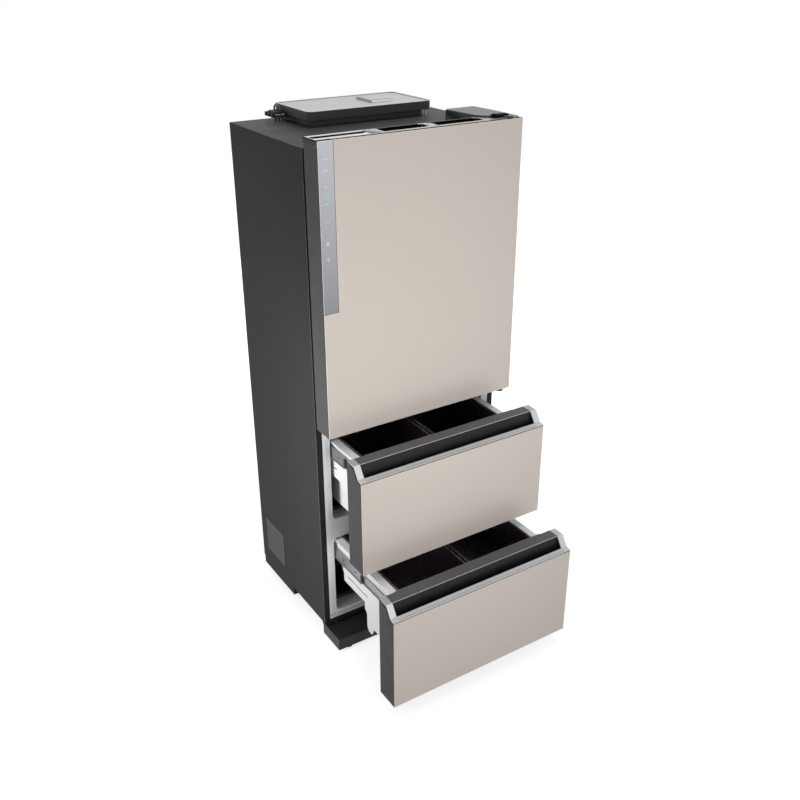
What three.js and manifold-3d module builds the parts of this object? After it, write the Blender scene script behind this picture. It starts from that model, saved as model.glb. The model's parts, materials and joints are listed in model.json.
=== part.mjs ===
// Three-compartment kimchi refrigerator: an upper compartment behind a right-hinged door, and two
// drawers on telescopic slides over a machine room at the lower rear.
// Millimetres, +X to the right seen from the front, +Y to the back, +Z up. The pieces are laid out
// with x = 0 in the middle, y = 0 on the cabinet's front face and z = 0 on the floor.
import * as THREE from "three";
import { mergeVertices } from "three/addons/utils/BufferGeometryUtils.js";
import Module from "manifold-3d";

const wasm = await Module();
wasm.setup();

// ---------------------------------------------------------------- driving dimensions

const FIT = 0.3; // between pieces that rest on or against each other
const BITE = 0.5; // how deep joined features of one piece run into each other

// Outer case
const CABINET_WIDTH = 730;
const CABINET_DEPTH = 520;
const GROUND_GAP = 76; // floor to the side panels' lower edge
const DOOR_ABOVE_CASE = 34; // door's top above the cabinet's
const STEEL = 1.5; // sheet of the outer case
const FRONT_FLANGE = 22; // side and top panels folded round the front
const REAR_FLANGE = 14;
const BOTTOM_FLANGE = 20;

// Base and machine room
const BASE_STEEL = 2;
const FACE_BOTTOM_RAIL = 13; // base frame's upright front fold above the side panels' lower edge
const MACHINE_DEPTH = 260.5; // from the case's rear edge forward
const MACHINE_CEILING = 220.5; // above the floor
const MACHINE_FLOOR = 42;
const MACHINE_SIDE_UPSTAND = 90;
const REAR_LIP = 11;
const CHANNEL_FRONT = 10; // front cross channel that carries the levelling feet
const CHANNEL_REACH = 60;
const CHANNEL_BOTTOM = 22;
const CHANNEL_INSET = 25; // channel's ends inside the cabinet's sides

// Liner and compartments
const LINER_WALL = 2;
const FACE_FRAME = 50; // width of the liner's face frame beside the openings
const OPENING_RADIUS = 18;
const TUB_DEPTH = 450;
const LOWER_SILL = 41; // above the side panels' lower edge
const UPPER_HEAD = 40; // upper opening below the case's top
const SEAL_LAND = 16; // opening's top below the top edge of a drawer front
const MIDDLE_SILL = 36; // opening's bottom above the bottom edge of the middle front
const DOOR_SILL = 20; // opening's bottom above the door's bottom edge
const SILL_RUN = 28; // sloped lip inside each drawer opening
const LOWER_SILL_RISE = 23;
const MIDDLE_SILL_RISE = 15;
const STEP_DEPTH = 215; // lower tub's full height reaches this far back
const STEP_FLOOR = 264; // shallow rear part of the lower tub, above the floor

// Door and drawer fronts
const CLOSED_GAP = 8; // cabinet face to the backs of the closed fronts
const FRONT_THICKNESS = 88;
const FACE_PANEL = 3.7;
const FACE_EDGE = 1; // chamfer round the face panels
const LOWEST_FRONT = 60; // floor to the lower drawer's front
const FRONT_SPACING = 25;
const DRAWER_FRONT_HEIGHT = 388;
const DOOR_HEIGHT = 937;

// Handle recess along the top of a drawer front, sizes down from the front's top or back from its face
const HANDLE_LIP_DROP = 41; // front edge of the lip
const HANDLE_LIP_RISE = 4; // lip climbs towards its rear edge
const HANDLE_LIP_DEPTH = 21;
const HANDLE_FLAT_BACK = 46; // top flat's front edge behind the face
const HANDLE_CAP_WIDTH = 24;
const HANDLE_CAP_REACH = 20; // end cap's flat top behind the chamfer
const HANDLE_SKIN = 3;
const HANDLE_POCKET_DROP = 64;
const HANDLE_POCKET_FOOT = 14; // upright foot of the pocket's rear wall
const HANDLE_POCKET_BACK = 39; // pocket's rear wall behind the face
const HANDLE_FRONT_LAP = 4; // trim's fold over the face

// Gaskets
const GASKET_WIDTH = 14;
const GASKET_BULB = 9;
const GASKET_BASE = 3;

// Telescopic slides
const SLIDE_LENGTH = 420;
const SLIDE_SETBACK = 6;
const SLIDE_HEIGHT = 45;
const SLIDE_DEPTH = 12.7;
const SLIDE_STEEL = 1.2;
const SLIDE_TRAVEL_RATIO = 0.5; // middle member's travel over the drawer's
const MIDDLE_SLIDE_DROP = 65; // slide centre lines below the opening's top
const LOWER_SLIDE_DROP = 60;

// Drawers
const MIDDLE_PULL = 197; // how far each drawer stands open at rest
const LOWER_PULL = 381;
const DRAWER_WALL = 3;
const DRAWER_RIM = 4;
const DRAWER_RIM_PLAY = 6; // drawer rim inside the opening's sides
const DRAWER_TUB_PLAY = 35; // drawer tub inside the opening's sides, with the slides between
const DRAWER_TUB_FRONT = 5; // tub cavity behind the cabinet face when closed
const MIDDLE_BOX_DEPTH = 400;
const MIDDLE_BOX_DROP = 26; // rim below the opening's top
const MIDDLE_BOX_LIFT = 51; // bottom above the opening's sill
const MIDDLE_SKIRT_DROP = 155; // skirt's lower edge below the rim
const MIDDLE_SKIRT_STEP = { at: 160, rise: 17, run: 8 }; // shallower behind this
const MIDDLE_SKIRT_SLOT = { from: 178, to: 240, drop: 104 };
const LOWER_BOX_DEPTH = 400;
const LOWER_BOX_DROP = 8;
const LOWER_BOX_LIFT = 44;
const LOWER_STEP_GAP = 10; // box's shallow rear part above the tub's step
const LOWER_LEG_GAP = 34; // box's deep front part in front of the tub's step
const LOWER_SKIRT_DEPTH = 339; // skirt's rear edge below the slides
const LOWER_SKIRT_RADIUS = 34; // where that edge turns back under the slides
const LOWER_SKIRT_SLOT = { from: 177, to: 311, drop: 121 };
const LOWER_SHOULDER = { reach: 14, drop: 28 }; // skirt behind the leg, down from the skirt's lower edge
const LOWER_FOOT = { depth: 46, rise: 30 }; // skirt's foot at the leg's rear and its edge in front of that
const SKIRT_SLOT_HEIGHT = 5;
const LEG_RADIUS = 20;
const BIN_GAP = 16; // between the two bins of a drawer
const BIN_WALL = 2.5;
const BIN_PLAY = 2;
const BIN_RIM = 3;
const BIN_RIM_LAP = 4;
const BIN_RADIUS = 14;

// Door
const HINGE_INSET = 22; // hinge axis from the case's right side
const HINGE_BACK = 30; // hinge axis behind the door's face
const DOOR_CAP_HEIGHT = 18;
const DOOR_LINER_PLATE = 2.7;
const DOOR_LINER_MARGIN = 14;
const DYKE_INSET = 19; // ring inside the upper opening's sides
const DYKE_WIDTH = 28;
const DYKE_DEPTH = 60; // into the cabinet from its face
const DYKE_MARGIN = 24; // inside the upper opening at top and bottom
const DYKE_RADIUS = 24;
const STRIP_WIDTH = 50.7;
const STRIP_HEIGHT = 513;
const DOOR_POCKET_DEPTH = 12;
const DOOR_BIN_DEPTH = 95; // into the cabinet from its face
const DOOR_BIN_HEIGHT = 110;
const DOOR_BIN_SHARES = [0.082, 0.402, 0.705]; // bin floors up the upper compartment's height
const DOOR_BIN_FOOT = 12; // bin's floor short of its front
const DOOR_BIN_SLOPE = 40; // height of the sloped lower front
const GRIP = { inset: 20, width: 195, front: 20, back: 66, height: 28 };
const CAP_POCKET = { narrow: 24, wide: 42, inset: 28, step: 8, gap: 32 }; // hollows in the door's top cap
const PIN_RADIUS = 5;
const PIN_DEPTH = 26;

// Top of the cabinet
const HINGE_PLATE = 3;
const HINGE_RUN = 1; // between the door's top and what reaches over it
const COVER_WALL = 2;
// In from the case's edges
const CONTROL_TIER = { left: 180, right: 110, front: 295, rear: 20, height: 22 };
const CONTROL_LID = { left: 160, right: 99, front: 264, rear: 2, height: 28 };
const CONTROL_BLOCK = { right: 116, width: 80, front: 71, depth: 105, rise: 6 }; // raised part of the lid
const CONTROL_CLIP = { reach: 48, rear: 25, depth: 26, level: 9, thickness: 7, prong: 6 };
const CONTROL_RADIUS = 22;
const CONTROL_INSET = 7;

// Upper compartment fittings
const SHELF_SHARES = [0.325, 0.645]; // shelf levels up the upper compartment's height
const LEDGE = { reach: 9, height: 7, front: 110, back: 380 };
const SHELF = { front: 104, back: 388, rim: 16, rimWidth: 18, glass: 4, drop: 3, play: 2, corner: 12 };
const DUCT_INSET = 29; // duct cover inside the opening's sides
const DUCT_DEPTH = 52; // duct cover's face in front of the liner's rear wall
const DUCT_FOOT = 24; // duct cover above the compartment's floor
const DUCT_HEAD = 27; // duct cover below the compartment's ceiling
const DUCT_WALL = 3;
const DUCT_FAN_RISE = 17.5; // fan above the middle of the compartment's height
const DUCT_FAN_RADIUS = 56;
const LAMP = { half: 90, height: 24, drop: 42, thickness: 5 }; // lamp cover in the duct cover's head

// ---------------------------------------------------------------- values that follow

const HALF = CABINET_WIDTH / 2;
const OPENING_HALF = HALF - FACE_FRAME;
const CASE_HALF = HALF - STEEL - FIT; // what fits between the side panels
const FACE_HALF = HALF - FRONT_FLANGE - FIT; // what fits between their front flanges
const REAR_FACE = CABINET_DEPTH - STEEL - FIT; // rear panel's outer face
const MACHINE_FRONT = CABINET_DEPTH - MACHINE_DEPTH;
const DECK_TOP = GROUND_GAP - FIT;

const FRONT_BACK = -CLOSED_GAP;
const FRONT_FACE = -CLOSED_GAP - FRONT_THICKNESS;
const lowerFront = { bottom: LOWEST_FRONT, top: LOWEST_FRONT + DRAWER_FRONT_HEIGHT };
const middleFront = {
  bottom: lowerFront.top + FRONT_SPACING,
  top: lowerFront.top + FRONT_SPACING + DRAWER_FRONT_HEIGHT,
};
const doorFront = {
  bottom: middleFront.top + FRONT_SPACING,
  top: middleFront.top + FRONT_SPACING + DOOR_HEIGHT,
};

const CABINET_TOP = doorFront.top - DOOR_ABOVE_CASE;
const CASE_CEILING = CABINET_TOP - STEEL - FIT;

const lowerTub = {
  bottom: GROUND_GAP + LOWER_SILL,
  top: lowerFront.top - SEAL_LAND,
  rise: LOWER_SILL_RISE,
  step: { depth: STEP_DEPTH, floor: STEP_FLOOR },
};
const middleTub = {
  bottom: middleFront.bottom + MIDDLE_SILL,
  top: middleFront.top - SEAL_LAND,
  rise: MIDDLE_SILL_RISE,
};
const upperTub = {
  bottom: doorFront.bottom + DOOR_SILL,
  top: CABINET_TOP - UPPER_HEAD,
  rise: 0,
};
const upLevel = (share) => upperTub.bottom + share * (upperTub.top - upperTub.bottom);
const SHELF_LEVELS = SHELF_SHARES.map(upLevel);
const DOOR_BIN_LEVELS = DOOR_BIN_SHARES.map(upLevel);

const DRAWER_RIM_HALF = OPENING_HALF - DRAWER_RIM_PLAY;
const DRAWER_TUB_HALF = OPENING_HALF - DRAWER_TUB_PLAY;
const MIDDLE_SLIDE_HEIGHT = middleTub.top - MIDDLE_SLIDE_DROP;
const LOWER_SLIDE_HEIGHT = lowerTub.top - LOWER_SLIDE_DROP;
const middleBox = {
  bottom: middleTub.bottom + MIDDLE_BOX_LIFT,
  top: middleTub.top - MIDDLE_BOX_DROP,
  depth: MIDDLE_BOX_DEPTH,
  skirtBottom: middleTub.top - MIDDLE_BOX_DROP - MIDDLE_SKIRT_DROP,
  step: MIDDLE_SKIRT_STEP,
  slot: MIDDLE_SKIRT_SLOT,
};
const lowerBox = {
  bottom: lowerTub.bottom + LOWER_BOX_LIFT,
  top: lowerTub.top - LOWER_BOX_DROP,
  depth: LOWER_BOX_DEPTH,
  skirtBottom: STEP_FLOOR + LOWER_STEP_GAP,
  legDepth: STEP_DEPTH - LOWER_LEG_GAP,
  skirtDepth: LOWER_SKIRT_DEPTH,
  slideBottom: LOWER_SLIDE_HEIGHT - SLIDE_HEIGHT / 2,
  slot: LOWER_SKIRT_SLOT,
};

const DYKE_HALF = OPENING_HALF - DYKE_INSET;
const DUCT_HALF = OPENING_HALF - DUCT_INSET;
const DUCT_FRONT = TUB_DEPTH - DUCT_DEPTH;
const DUCT_BOTTOM = upperTub.bottom + DUCT_FOOT;
const DUCT_TOP = upperTub.top - DUCT_HEAD;
const DUCT_FAN_HEIGHT = (upperTub.bottom + upperTub.top) / 2 + DUCT_FAN_RISE;

// ---------------------------------------------------------------- finishes

const FINISHES = {
  charcoalSteel: [0x47474a, 0.45, 0.35],
  galvanisedSteel: [0x9a9d9f, 0.4, 0.8],
  slideSteel: [0x8f9294, 0.32, 0.85],
  hingeSteel: [0x2b2b2d, 0.4, 0.6],
  greigePanel: [0xc6bdb4, 0.35, 0.1],
  controlStrip: [0xb4b5b9, 0.25, 0.3],
  greyCasing: [0x56565a, 0.5, 0.1],
  silverTrim: [0xc4c5c6, 0.3, 0.6],
  faceLiner: [0xb4b5b6, 0.45, 0],
  whitePlastic: [0xe9eaeb, 0.4, 0],
  darkBin: [0x2e2628, 0.4, 0],
  blackPlastic: [0x1d1d1f, 0.5, 0],
  greyCover: [0x77787a, 0.5, 0.1],
  gasketRubber: [0x4b4c4e, 0.75, 0],
  footRubber: [0x1a1a1b, 0.85, 0],
  foam: [0xe6dcae, 0.95, 0],
  compressorBlack: [0x17171a, 0.45, 0.4],
  copperTube: [0x23201f, 0.45, 0.6],
  aluminiumFin: [0xc9cccd, 0.35, 0.85],
  shelfGlass: [0xd3e0df, 0.1, 0],
  lampCover: [0xf4f4ee, 0.3, 0],
};

// ---------------------------------------------------------------- solids

// A closed geometry as a solid that faces outwards, whichever way its profile was drawn.
function solid(geometry) {
  const bare = new THREE.BufferGeometry();
  bare.setAttribute("position", geometry.getAttribute("position"));
  bare.setIndex(geometry.index);
  const merged = mergeVertices(bare, 1e-4);
  const corners = merged.index.array;
  const kept = [];
  for (let i = 0; i < corners.length; i += 3) {
    const [a, b, c] = corners.slice(i, i + 3);
    if (a !== b && b !== c && c !== a) kept.push(a, b, c);
  }
  const vertProperties = merged.attributes.position.array;
  const build = (triVerts) => {
    const mesh = new wasm.Mesh({ numProp: 3, vertProperties, triVerts: new Uint32Array(triVerts) });
    return new wasm.Manifold(mesh);
  };
  const made = build(kept);
  return made.volume() > 0 ? made : build(kept.reverse());
}

const join = (first, ...others) => others.reduce((sum, next) => sum.add(next), first);
const cut = (body, ...tools) => tools.reduce((left, tool) => left.subtract(tool), body);

function geometryOf(body) {
  const { vertProperties, triVerts } = body.getMesh();
  const indexed = new THREE.BufferGeometry();
  indexed.setAttribute("position", new THREE.BufferAttribute(new Float32Array(vertProperties), 3));
  indexed.setIndex(new THREE.BufferAttribute(new Uint32Array(triVerts), 1));
  const flat = indexed.toNonIndexed();
  flat.computeVertexNormals();
  return flat;
}

function place(group, name, body, finish) {
  const [color, roughness, metalness] = FINISHES[finish];
  const material = new THREE.MeshStandardMaterial({ color, roughness, metalness });
  const mesh = new THREE.Mesh(geometryOf(body), material);
  mesh.name = name;
  group.add(mesh);
  return mesh;
}

// ---------------------------------------------------------------- outlines

const rect = (u0, u1, v0, v1) => [
  [u0, v0],
  [u1, v0],
  [u1, v1],
  [u0, v1],
];

function circle(u, v, radius, sides) {
  const turn = (2 * Math.PI) / sides;
  return Array.from({ length: sides }, (_, i) => [
    u + radius * Math.cos((i + 0.5) * turn),
    v + radius * Math.sin((i + 0.5) * turn),
  ]);
}

// Points of a closed outline with its corners rounded; a corner's third value is its own radius.
function rounded(points, radius, steps = 3) {
  return points.flatMap(([u, v, own], i) => {
    const size = own ?? radius;
    if (!size) return [[u, v]];
    const corner = new THREE.Vector2(u, v);
    const [pu, pv] = points.at(i - 1);
    const [nu, nv] = points[(i + 1) % points.length];
    const back = new THREE.Vector2(pu, pv).sub(corner).normalize();
    const ahead = new THREE.Vector2(nu, nv).sub(corner).normalize();
    const half = Math.acos(back.dot(ahead)) / 2;
    const centre = back.clone().add(ahead).normalize().multiplyScalar(size / Math.sin(half)).add(corner);
    const start = back.multiplyScalar(size / Math.tan(half)).add(corner).sub(centre);
    const end = ahead.multiplyScalar(size / Math.tan(half)).add(corner).sub(centre);
    const sweep = Math.PI - 2 * half;
    return Array.from({ length: steps + 1 }, (_, k) => {
      const near = Math.sin(sweep * (1 - k / steps)) / Math.sin(sweep);
      const far = Math.sin((sweep * k) / steps) / Math.sin(sweep);
      return [centre.x + near * start.x + far * end.x, centre.y + near * start.y + far * end.y];
    });
  });
}

// Outline of a folded sheet that lies to the right of the line of points, or to its left where
// the thickness is negative.
function folded(points, thickness) {
  const normals = points.slice(1).map(([u, v], i) => {
    const [pu, pv] = points[i];
    return new THREE.Vector2(v - pv, pu - u).normalize();
  });
  const shifted = points.map(([u, v], i) => {
    const before = normals[Math.max(i - 1, 0)];
    const after = normals[Math.min(i, normals.length - 1)];
    const reach = thickness / (1 + before.dot(after));
    return [u + (before.x + after.x) * reach, v + (before.y + after.y) * reach];
  });
  return [...points, ...shifted.reverse()];
}

// ---------------------------------------------------------------- extrusions

const X = new THREE.Vector3(1, 0, 0);
const Y = new THREE.Vector3(0, 1, 0);
const Z = new THREE.Vector3(0, 0, 1);
const FROM_YZ = new THREE.Matrix4().makeBasis(Y, Z, X);
const FROM_XZ = new THREE.Matrix4().makeBasis(X, Z, Y.clone().negate());

function prism(points, depth, holes) {
  const toVectors = (list) => list.map(([u, v]) => new THREE.Vector2(u, v));
  const shape = new THREE.Shape(toVectors(points));
  shape.holes = holes.map((hole) => new THREE.Path(toVectors(hole)));
  return new THREE.ExtrudeGeometry(shape, { depth, bevelEnabled: false });
}

// Outlines are in (y, z), (x, z) and (x, y).
const alongX = (points, x0, x1, ...holes) =>
  solid(prism(points, x1 - x0, holes).applyMatrix4(FROM_YZ).translate(x0, 0, 0));
const alongY = (points, y0, y1, ...holes) =>
  solid(prism(points, y1 - y0, holes).applyMatrix4(FROM_XZ).translate(0, y1, 0));
const alongZ = (points, z0, z1, ...holes) =>
  solid(prism(points, z1 - z0, holes).translate(0, 0, z0));

function box(x0, x1, y0, y1, z0, z1) {
  const geometry = new THREE.BoxGeometry(x1 - x0, y1 - y0, z1 - z0);
  return solid(geometry.translate((x0 + x1) / 2, (y0 + y1) / 2, (z0 + z1) / 2));
}

// The same span on the left (side -1) or the right (side 1) of the middle plane.
const onSide = (side, near, far) => (side < 0 ? [-far, -near] : [near, far]);
const sideBox = (side, near, far, ...rest) => box(...onSide(side, near, far), ...rest);

// A path through listed stations, with each section square to the bend there.
class StationCurve extends THREE.Curve {
  constructor(stations) {
    super();
    this.stations = stations;
  }
  getPoint(t) {
    const place = t * (this.stations.length - 1);
    const i = Math.min(Math.floor(place + 1e-9), this.stations.length - 2);
    return this.stations[i].clone().lerp(this.stations[i + 1], place - i);
  }
  getPointAt(u) {
    return this.getPoint(u);
  }
  getTangentAt(u) {
    const last = this.stations.length - 1;
    const i = Math.round(u * last);
    const here = this.stations[i];
    const into = here.clone().sub(this.stations[Math.max(i - 1, 0)]).normalize();
    const out = this.stations[Math.min(i + 1, last)].clone().sub(here).normalize();
    return into.add(out).normalize();
  }
}

// A tube through corner points, each bent to the radius.
function pipe(points, radius, bend, sides = 6, steps = 2) {
  const corners = points.map((point) => new THREE.Vector3(...point));
  const stations = corners.flatMap((corner, i) => {
    if (i === 0 || i === corners.length - 1) return [corner];
    const back = corners[i - 1].clone().sub(corner).normalize();
    const ahead = corners[i + 1].clone().sub(corner).normalize();
    const half = Math.acos(back.dot(ahead)) / 2;
    const centre = back.clone().add(ahead).setLength(bend / Math.sin(half)).add(corner);
    const start = back.setLength(bend / Math.tan(half)).add(corner).sub(centre);
    const end = ahead.setLength(bend / Math.tan(half)).add(corner).sub(centre);
    const sweep = Math.PI - 2 * half;
    return Array.from({ length: steps + 1 }, (_, k) => {
      const near = Math.sin(sweep * (1 - k / steps)) / Math.sin(sweep);
      const far = Math.sin((sweep * k) / steps) / Math.sin(sweep);
      return centre.clone().addScaledVector(start, near).addScaledVector(end, far);
    });
  });
  const apart = stations.filter((point, i) => i === 0 || point.distanceTo(stations[i - 1]) > 1e-3);
  const section = new THREE.Shape(circle(0, 0, radius, sides).map(([u, v]) => new THREE.Vector2(u, v)));
  const options = { steps: apart.length - 1, extrudePath: new StationCurve(apart) };
  return solid(new THREE.ExtrudeGeometry(section, options));
}

// A turned piece about the Z axis from (radius, height) points.
function turned(points, sides) {
  const profile = points.map(([radius, height]) => new THREE.Vector2(radius, height));
  return solid(new THREE.LatheGeometry(profile, sides).rotateX(Math.PI / 2));
}

// ---------------------------------------------------------------- outer case

function sidePanel(side) {
  const plan = folded(
    [
      [side * (HALF - FRONT_FLANGE), 0],
      [side * HALF, 0],
      [side * HALF, CABINET_DEPTH],
      [side * (HALF - REAR_FLANGE), CABINET_DEPTH],
    ],
    -side * STEEL,
  );
  const wall = alongZ(plan, GROUND_GAP, CASE_CEILING);
  const foot = sideBox(
    side,
    HALF - BOTTOM_FLANGE,
    HALF - STEEL + BITE,
    STEEL - BITE,
    MACHINE_FRONT - STEEL - FIT,
    GROUND_GAP,
    GROUND_GAP + STEEL,
  );
  return join(wall, foot);
}

function topPanel() {
  const profile = folded(
    [
      [0, CABINET_TOP - FRONT_FLANGE],
      [0, CABINET_TOP],
      [CABINET_DEPTH, CABINET_TOP],
      [CABINET_DEPTH, CABINET_TOP - REAR_FLANGE],
    ],
    STEEL,
  );
  const plate = box(-HALF, HALF, 0, CABINET_DEPTH, CABINET_TOP - STEEL, CABINET_TOP);
  return join(alongX(profile, -FACE_HALF, FACE_HALF), plate);
}

// Back, machine-room ceiling and machine-room front wall folded from one sheet.
function rearPanel() {
  const profile = folded(
    [
      [REAR_FACE, CASE_CEILING],
      [REAR_FACE, MACHINE_CEILING - STEEL],
      [MACHINE_FRONT, MACHINE_CEILING - STEEL],
      [MACHINE_FRONT, GROUND_GAP],
    ],
    STEEL,
  );
  return alongX(profile, -CASE_HALF, CASE_HALF);
}

const ROLLER = { radius: 19, width: 22, inset: 62, rear: 50, axle: 3, cheek: 2, foot: 7, play: 1 };
const ROLLER_Y = CABINET_DEPTH - ROLLER.rear;
const FOOT = { inset: 50, padRadius: 20, padHeight: 9, stemRadius: 5, stemTop: 58 };
const FOOT_DEPTH = CHANNEL_FRONT + CHANNEL_REACH / 2;

function baseFrame() {
  const lipFace = REAR_FACE - STEEL - FIT - BASE_STEEL;
  const deck = folded(
    [
      [0, DECK_TOP],
      [MACHINE_FRONT, DECK_TOP],
      [MACHINE_FRONT, MACHINE_FLOOR],
      [lipFace, MACHINE_FLOOR],
      [lipFace, MACHINE_FLOOR + REAR_LIP],
    ],
    BASE_STEEL,
  );
  const channel = folded(
    [
      [CHANNEL_FRONT, DECK_TOP - BITE],
      [CHANNEL_FRONT, CHANNEL_BOTTOM],
      [CHANNEL_FRONT + CHANNEL_REACH, CHANNEL_BOTTOM],
      [CHANNEL_FRONT + CHANNEL_REACH, CHANNEL_BOTTOM + REAR_LIP],
    ],
    -BASE_STEEL,
  );
  const faceTop = GROUND_GAP + FACE_BOTTOM_RAIL - FIT;
  const fold = box(-FACE_HALF, FACE_HALF, 0, BASE_STEEL, DECK_TOP - BASE_STEEL, faceTop);
  let frame = join(
    alongX(deck, -CASE_HALF, CASE_HALF),
    alongX(channel, CHANNEL_INSET - HALF, HALF - CHANNEL_INSET),
    fold,
  );
  for (const side of [-1, 1]) {
    const upstand = sideBox(
      side,
      CASE_HALF - BASE_STEEL,
      CASE_HALF,
      MACHINE_FRONT + FIT,
      REAR_FACE - STEEL - FIT,
      MACHINE_FLOOR - BASE_STEEL,
      MACHINE_FLOOR + MACHINE_SIDE_UPSTAND,
    );
    const footHole = alongZ(
      circle(side * (HALF - FOOT.inset), FOOT_DEPTH, FOOT.stemRadius + FIT, 16),
      CHANNEL_BOTTOM - BITE,
      CHANNEL_BOTTOM + BASE_STEEL + BITE,
    );
    frame = join(cut(frame, footHole), upstand, rollerFork(side));
  }
  return frame;
}

// Two cheeks under the machine-room floor with the roller's axle between them.
function rollerFork(side) {
  const inner = HALF - ROLLER.inset - ROLLER.width / 2 - ROLLER.play;
  const outer = inner + ROLLER.width + 2 * ROLLER.play;
  const half = ROLLER.radius * 0.8;
  const cheek = [
    [ROLLER_Y - half, MACHINE_FLOOR - BITE],
    [ROLLER_Y - half / 2, ROLLER.radius - ROLLER.foot],
    [ROLLER_Y + half / 2, ROLLER.radius - ROLLER.foot],
    [ROLLER_Y + half, MACHINE_FLOOR - BITE],
  ];
  const axle = circle(ROLLER_Y, ROLLER.radius, ROLLER.axle, 12);
  return join(
    alongX(cheek, ...onSide(side, inner - ROLLER.cheek, inner)),
    alongX(cheek, ...onSide(side, outer, outer + ROLLER.cheek)),
    alongX(axle, ...onSide(side, inner - BITE, outer + BITE)),
  );
}

function roller(side) {
  const sides = 20;
  const middle = HALF - ROLLER.inset;
  const span = onSide(side, middle - ROLLER.width / 2, middle + ROLLER.width / 2);
  const rim = circle(ROLLER_Y, ROLLER.radius, ROLLER.radius / Math.cos(Math.PI / sides), sides);
  const bore = circle(ROLLER_Y, ROLLER.radius, ROLLER.axle + FIT, 12);
  return alongX(rim, ...span, bore);
}

function levellingFoot(side) {
  const profile = [
    [0, 0],
    [FOOT.padRadius - 2, 0],
    [FOOT.padRadius, 2],
    [FOOT.padRadius, FOOT.padHeight - 2],
    [FOOT.padRadius - 4, FOOT.padHeight],
    [FOOT.stemRadius + 4, FOOT.padHeight],
    [FOOT.stemRadius + 4, CHANNEL_BOTTOM - FIT],
    [FOOT.stemRadius, CHANNEL_BOTTOM - FIT],
    [FOOT.stemRadius, FOOT.stemTop],
    [0, FOOT.stemTop],
  ];
  return { body: turned(profile, 16), x: side * (HALF - FOOT.inset), y: FOOT_DEPTH };
}

const KICK = { inset: 10, front: 84, back: 35, bottom: 8, top: 56, wall: 2.5, chamfer: 3 };

function baseCover() {
  const half = HALF - KICK.inset;
  const rear = CHANNEL_FRONT - FIT;
  const profile = folded(
    [
      [rear, KICK.top],
      [KICK.chamfer - KICK.front, KICK.top],
      [-KICK.front, KICK.top - KICK.chamfer],
      [-KICK.front, KICK.bottom],
    ],
    -KICK.wall,
  );
  const ends = [-1, 1].map((side) => {
    const outline = [
      [KICK.back, KICK.top],
      [KICK.chamfer - KICK.front, KICK.top],
      [-KICK.front, KICK.top - KICK.chamfer],
      [-KICK.front, KICK.bottom],
      [KICK.back, KICK.bottom],
    ];
    return alongX(outline, ...onSide(side, half - KICK.wall, half));
  });
  return join(alongX(profile, -half, half), ...ends);
}

// ---------------------------------------------------------------- liner, foam and slides

// Side view of a tub, grown outwards by its wall, from the given plane to its rear wall. The floor
// runs level to the cabinet's front face and climbs over the sill behind it.
function tubProfile(tub, wall, front) {
  const sill = tub.bottom - wall;
  const floor = sill + tub.rise;
  const back = TUB_DEPTH + wall;
  const mouth = front < 0 ? [[front, sill], [0, sill]] : [[front, sill]];
  const rear = tub.step
    ? [
        [tub.step.depth + wall, floor],
        [tub.step.depth + wall, tub.step.floor - wall],
        [back, tub.step.floor - wall],
      ]
    : [[back, floor]];
  return [...mouth, [SILL_RUN, floor], ...rear, [back, tub.top + wall], [front, tub.top + wall]];
}

function tubSolid(tub, wall, front) {
  const half = OPENING_HALF + wall;
  const mouth = rounded(rect(-half, half, tub.bottom - wall, tub.top + wall), OPENING_RADIUS + wall);
  const across = alongX(tubProfile(tub, wall, front), -half, half);
  return across.intersect(alongY(mouth, front, TUB_DEPTH + wall));
}

const TUBS = [lowerTub, middleTub, upperTub];

function insulationFoam() {
  const front = LINER_WALL + FIT;
  const back = REAR_FACE - STEEL - FIT;
  const floor = GROUND_GAP + STEEL + FIT;
  const block = box(-CASE_HALF, CASE_HALF, front, back, floor, CASE_CEILING);
  const machineRoom = box(
    -HALF,
    HALF,
    MACHINE_FRONT - STEEL - FIT,
    CABINET_DEPTH,
    GROUND_GAP,
    MACHINE_CEILING + FIT,
  );
  return cut(block, machineRoom, ...TUBS.map((tub) => tubSolid(tub, LINER_WALL + FIT, 0)));
}

// A slide member's ends: offset from the closed rear end lets the longer travel stay engaged.
const slideSpan = [SLIDE_SETBACK, SLIDE_SETBACK + SLIDE_LENGTH];
const SLIDE_STEP = SLIDE_STEEL + FIT; // each nested member is this much lower than the one around it

// Outlines of the three members, x from the tub wall on the given side, z about the centre line.
function slideSections(side, height) {
  const at = (depth, rise) => [side * (OPENING_HALF - depth), height + rise];
  const top = SLIDE_HEIGHT / 2;
  const channel = (web, lip, rise, turn) =>
    folded([at(lip, rise), at(web, rise), at(web, -rise), at(lip, -rise)], side * turn * SLIDE_STEEL);
  const middle = top - SLIDE_STEP;
  const web = SLIDE_DEPTH / 2 - SLIDE_STEEL;
  const flange = [SLIDE_STEEL + FIT, SLIDE_DEPTH - SLIDE_STEEL - FIT];
  return {
    fixed: channel(-BITE, SLIDE_DEPTH - SLIDE_STEEL, top, 1),
    middle: [
      at(flange[0], middle),
      at(flange[1], middle),
      at(flange[1], middle - SLIDE_STEEL),
      at(web + SLIDE_STEEL, middle - SLIDE_STEEL),
      at(web + SLIDE_STEEL, SLIDE_STEEL - middle),
      at(flange[1], SLIDE_STEEL - middle),
      at(flange[1], -middle),
      at(flange[0], -middle),
      at(flange[0], SLIDE_STEEL - middle),
      at(web, SLIDE_STEEL - middle),
      at(web, middle - SLIDE_STEEL),
      at(flange[0], middle - SLIDE_STEEL),
    ],
    drawer: channel(SLIDE_DEPTH, web + SLIDE_STEEL + FIT, middle - SLIDE_STEP, -1),
  };
}

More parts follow.
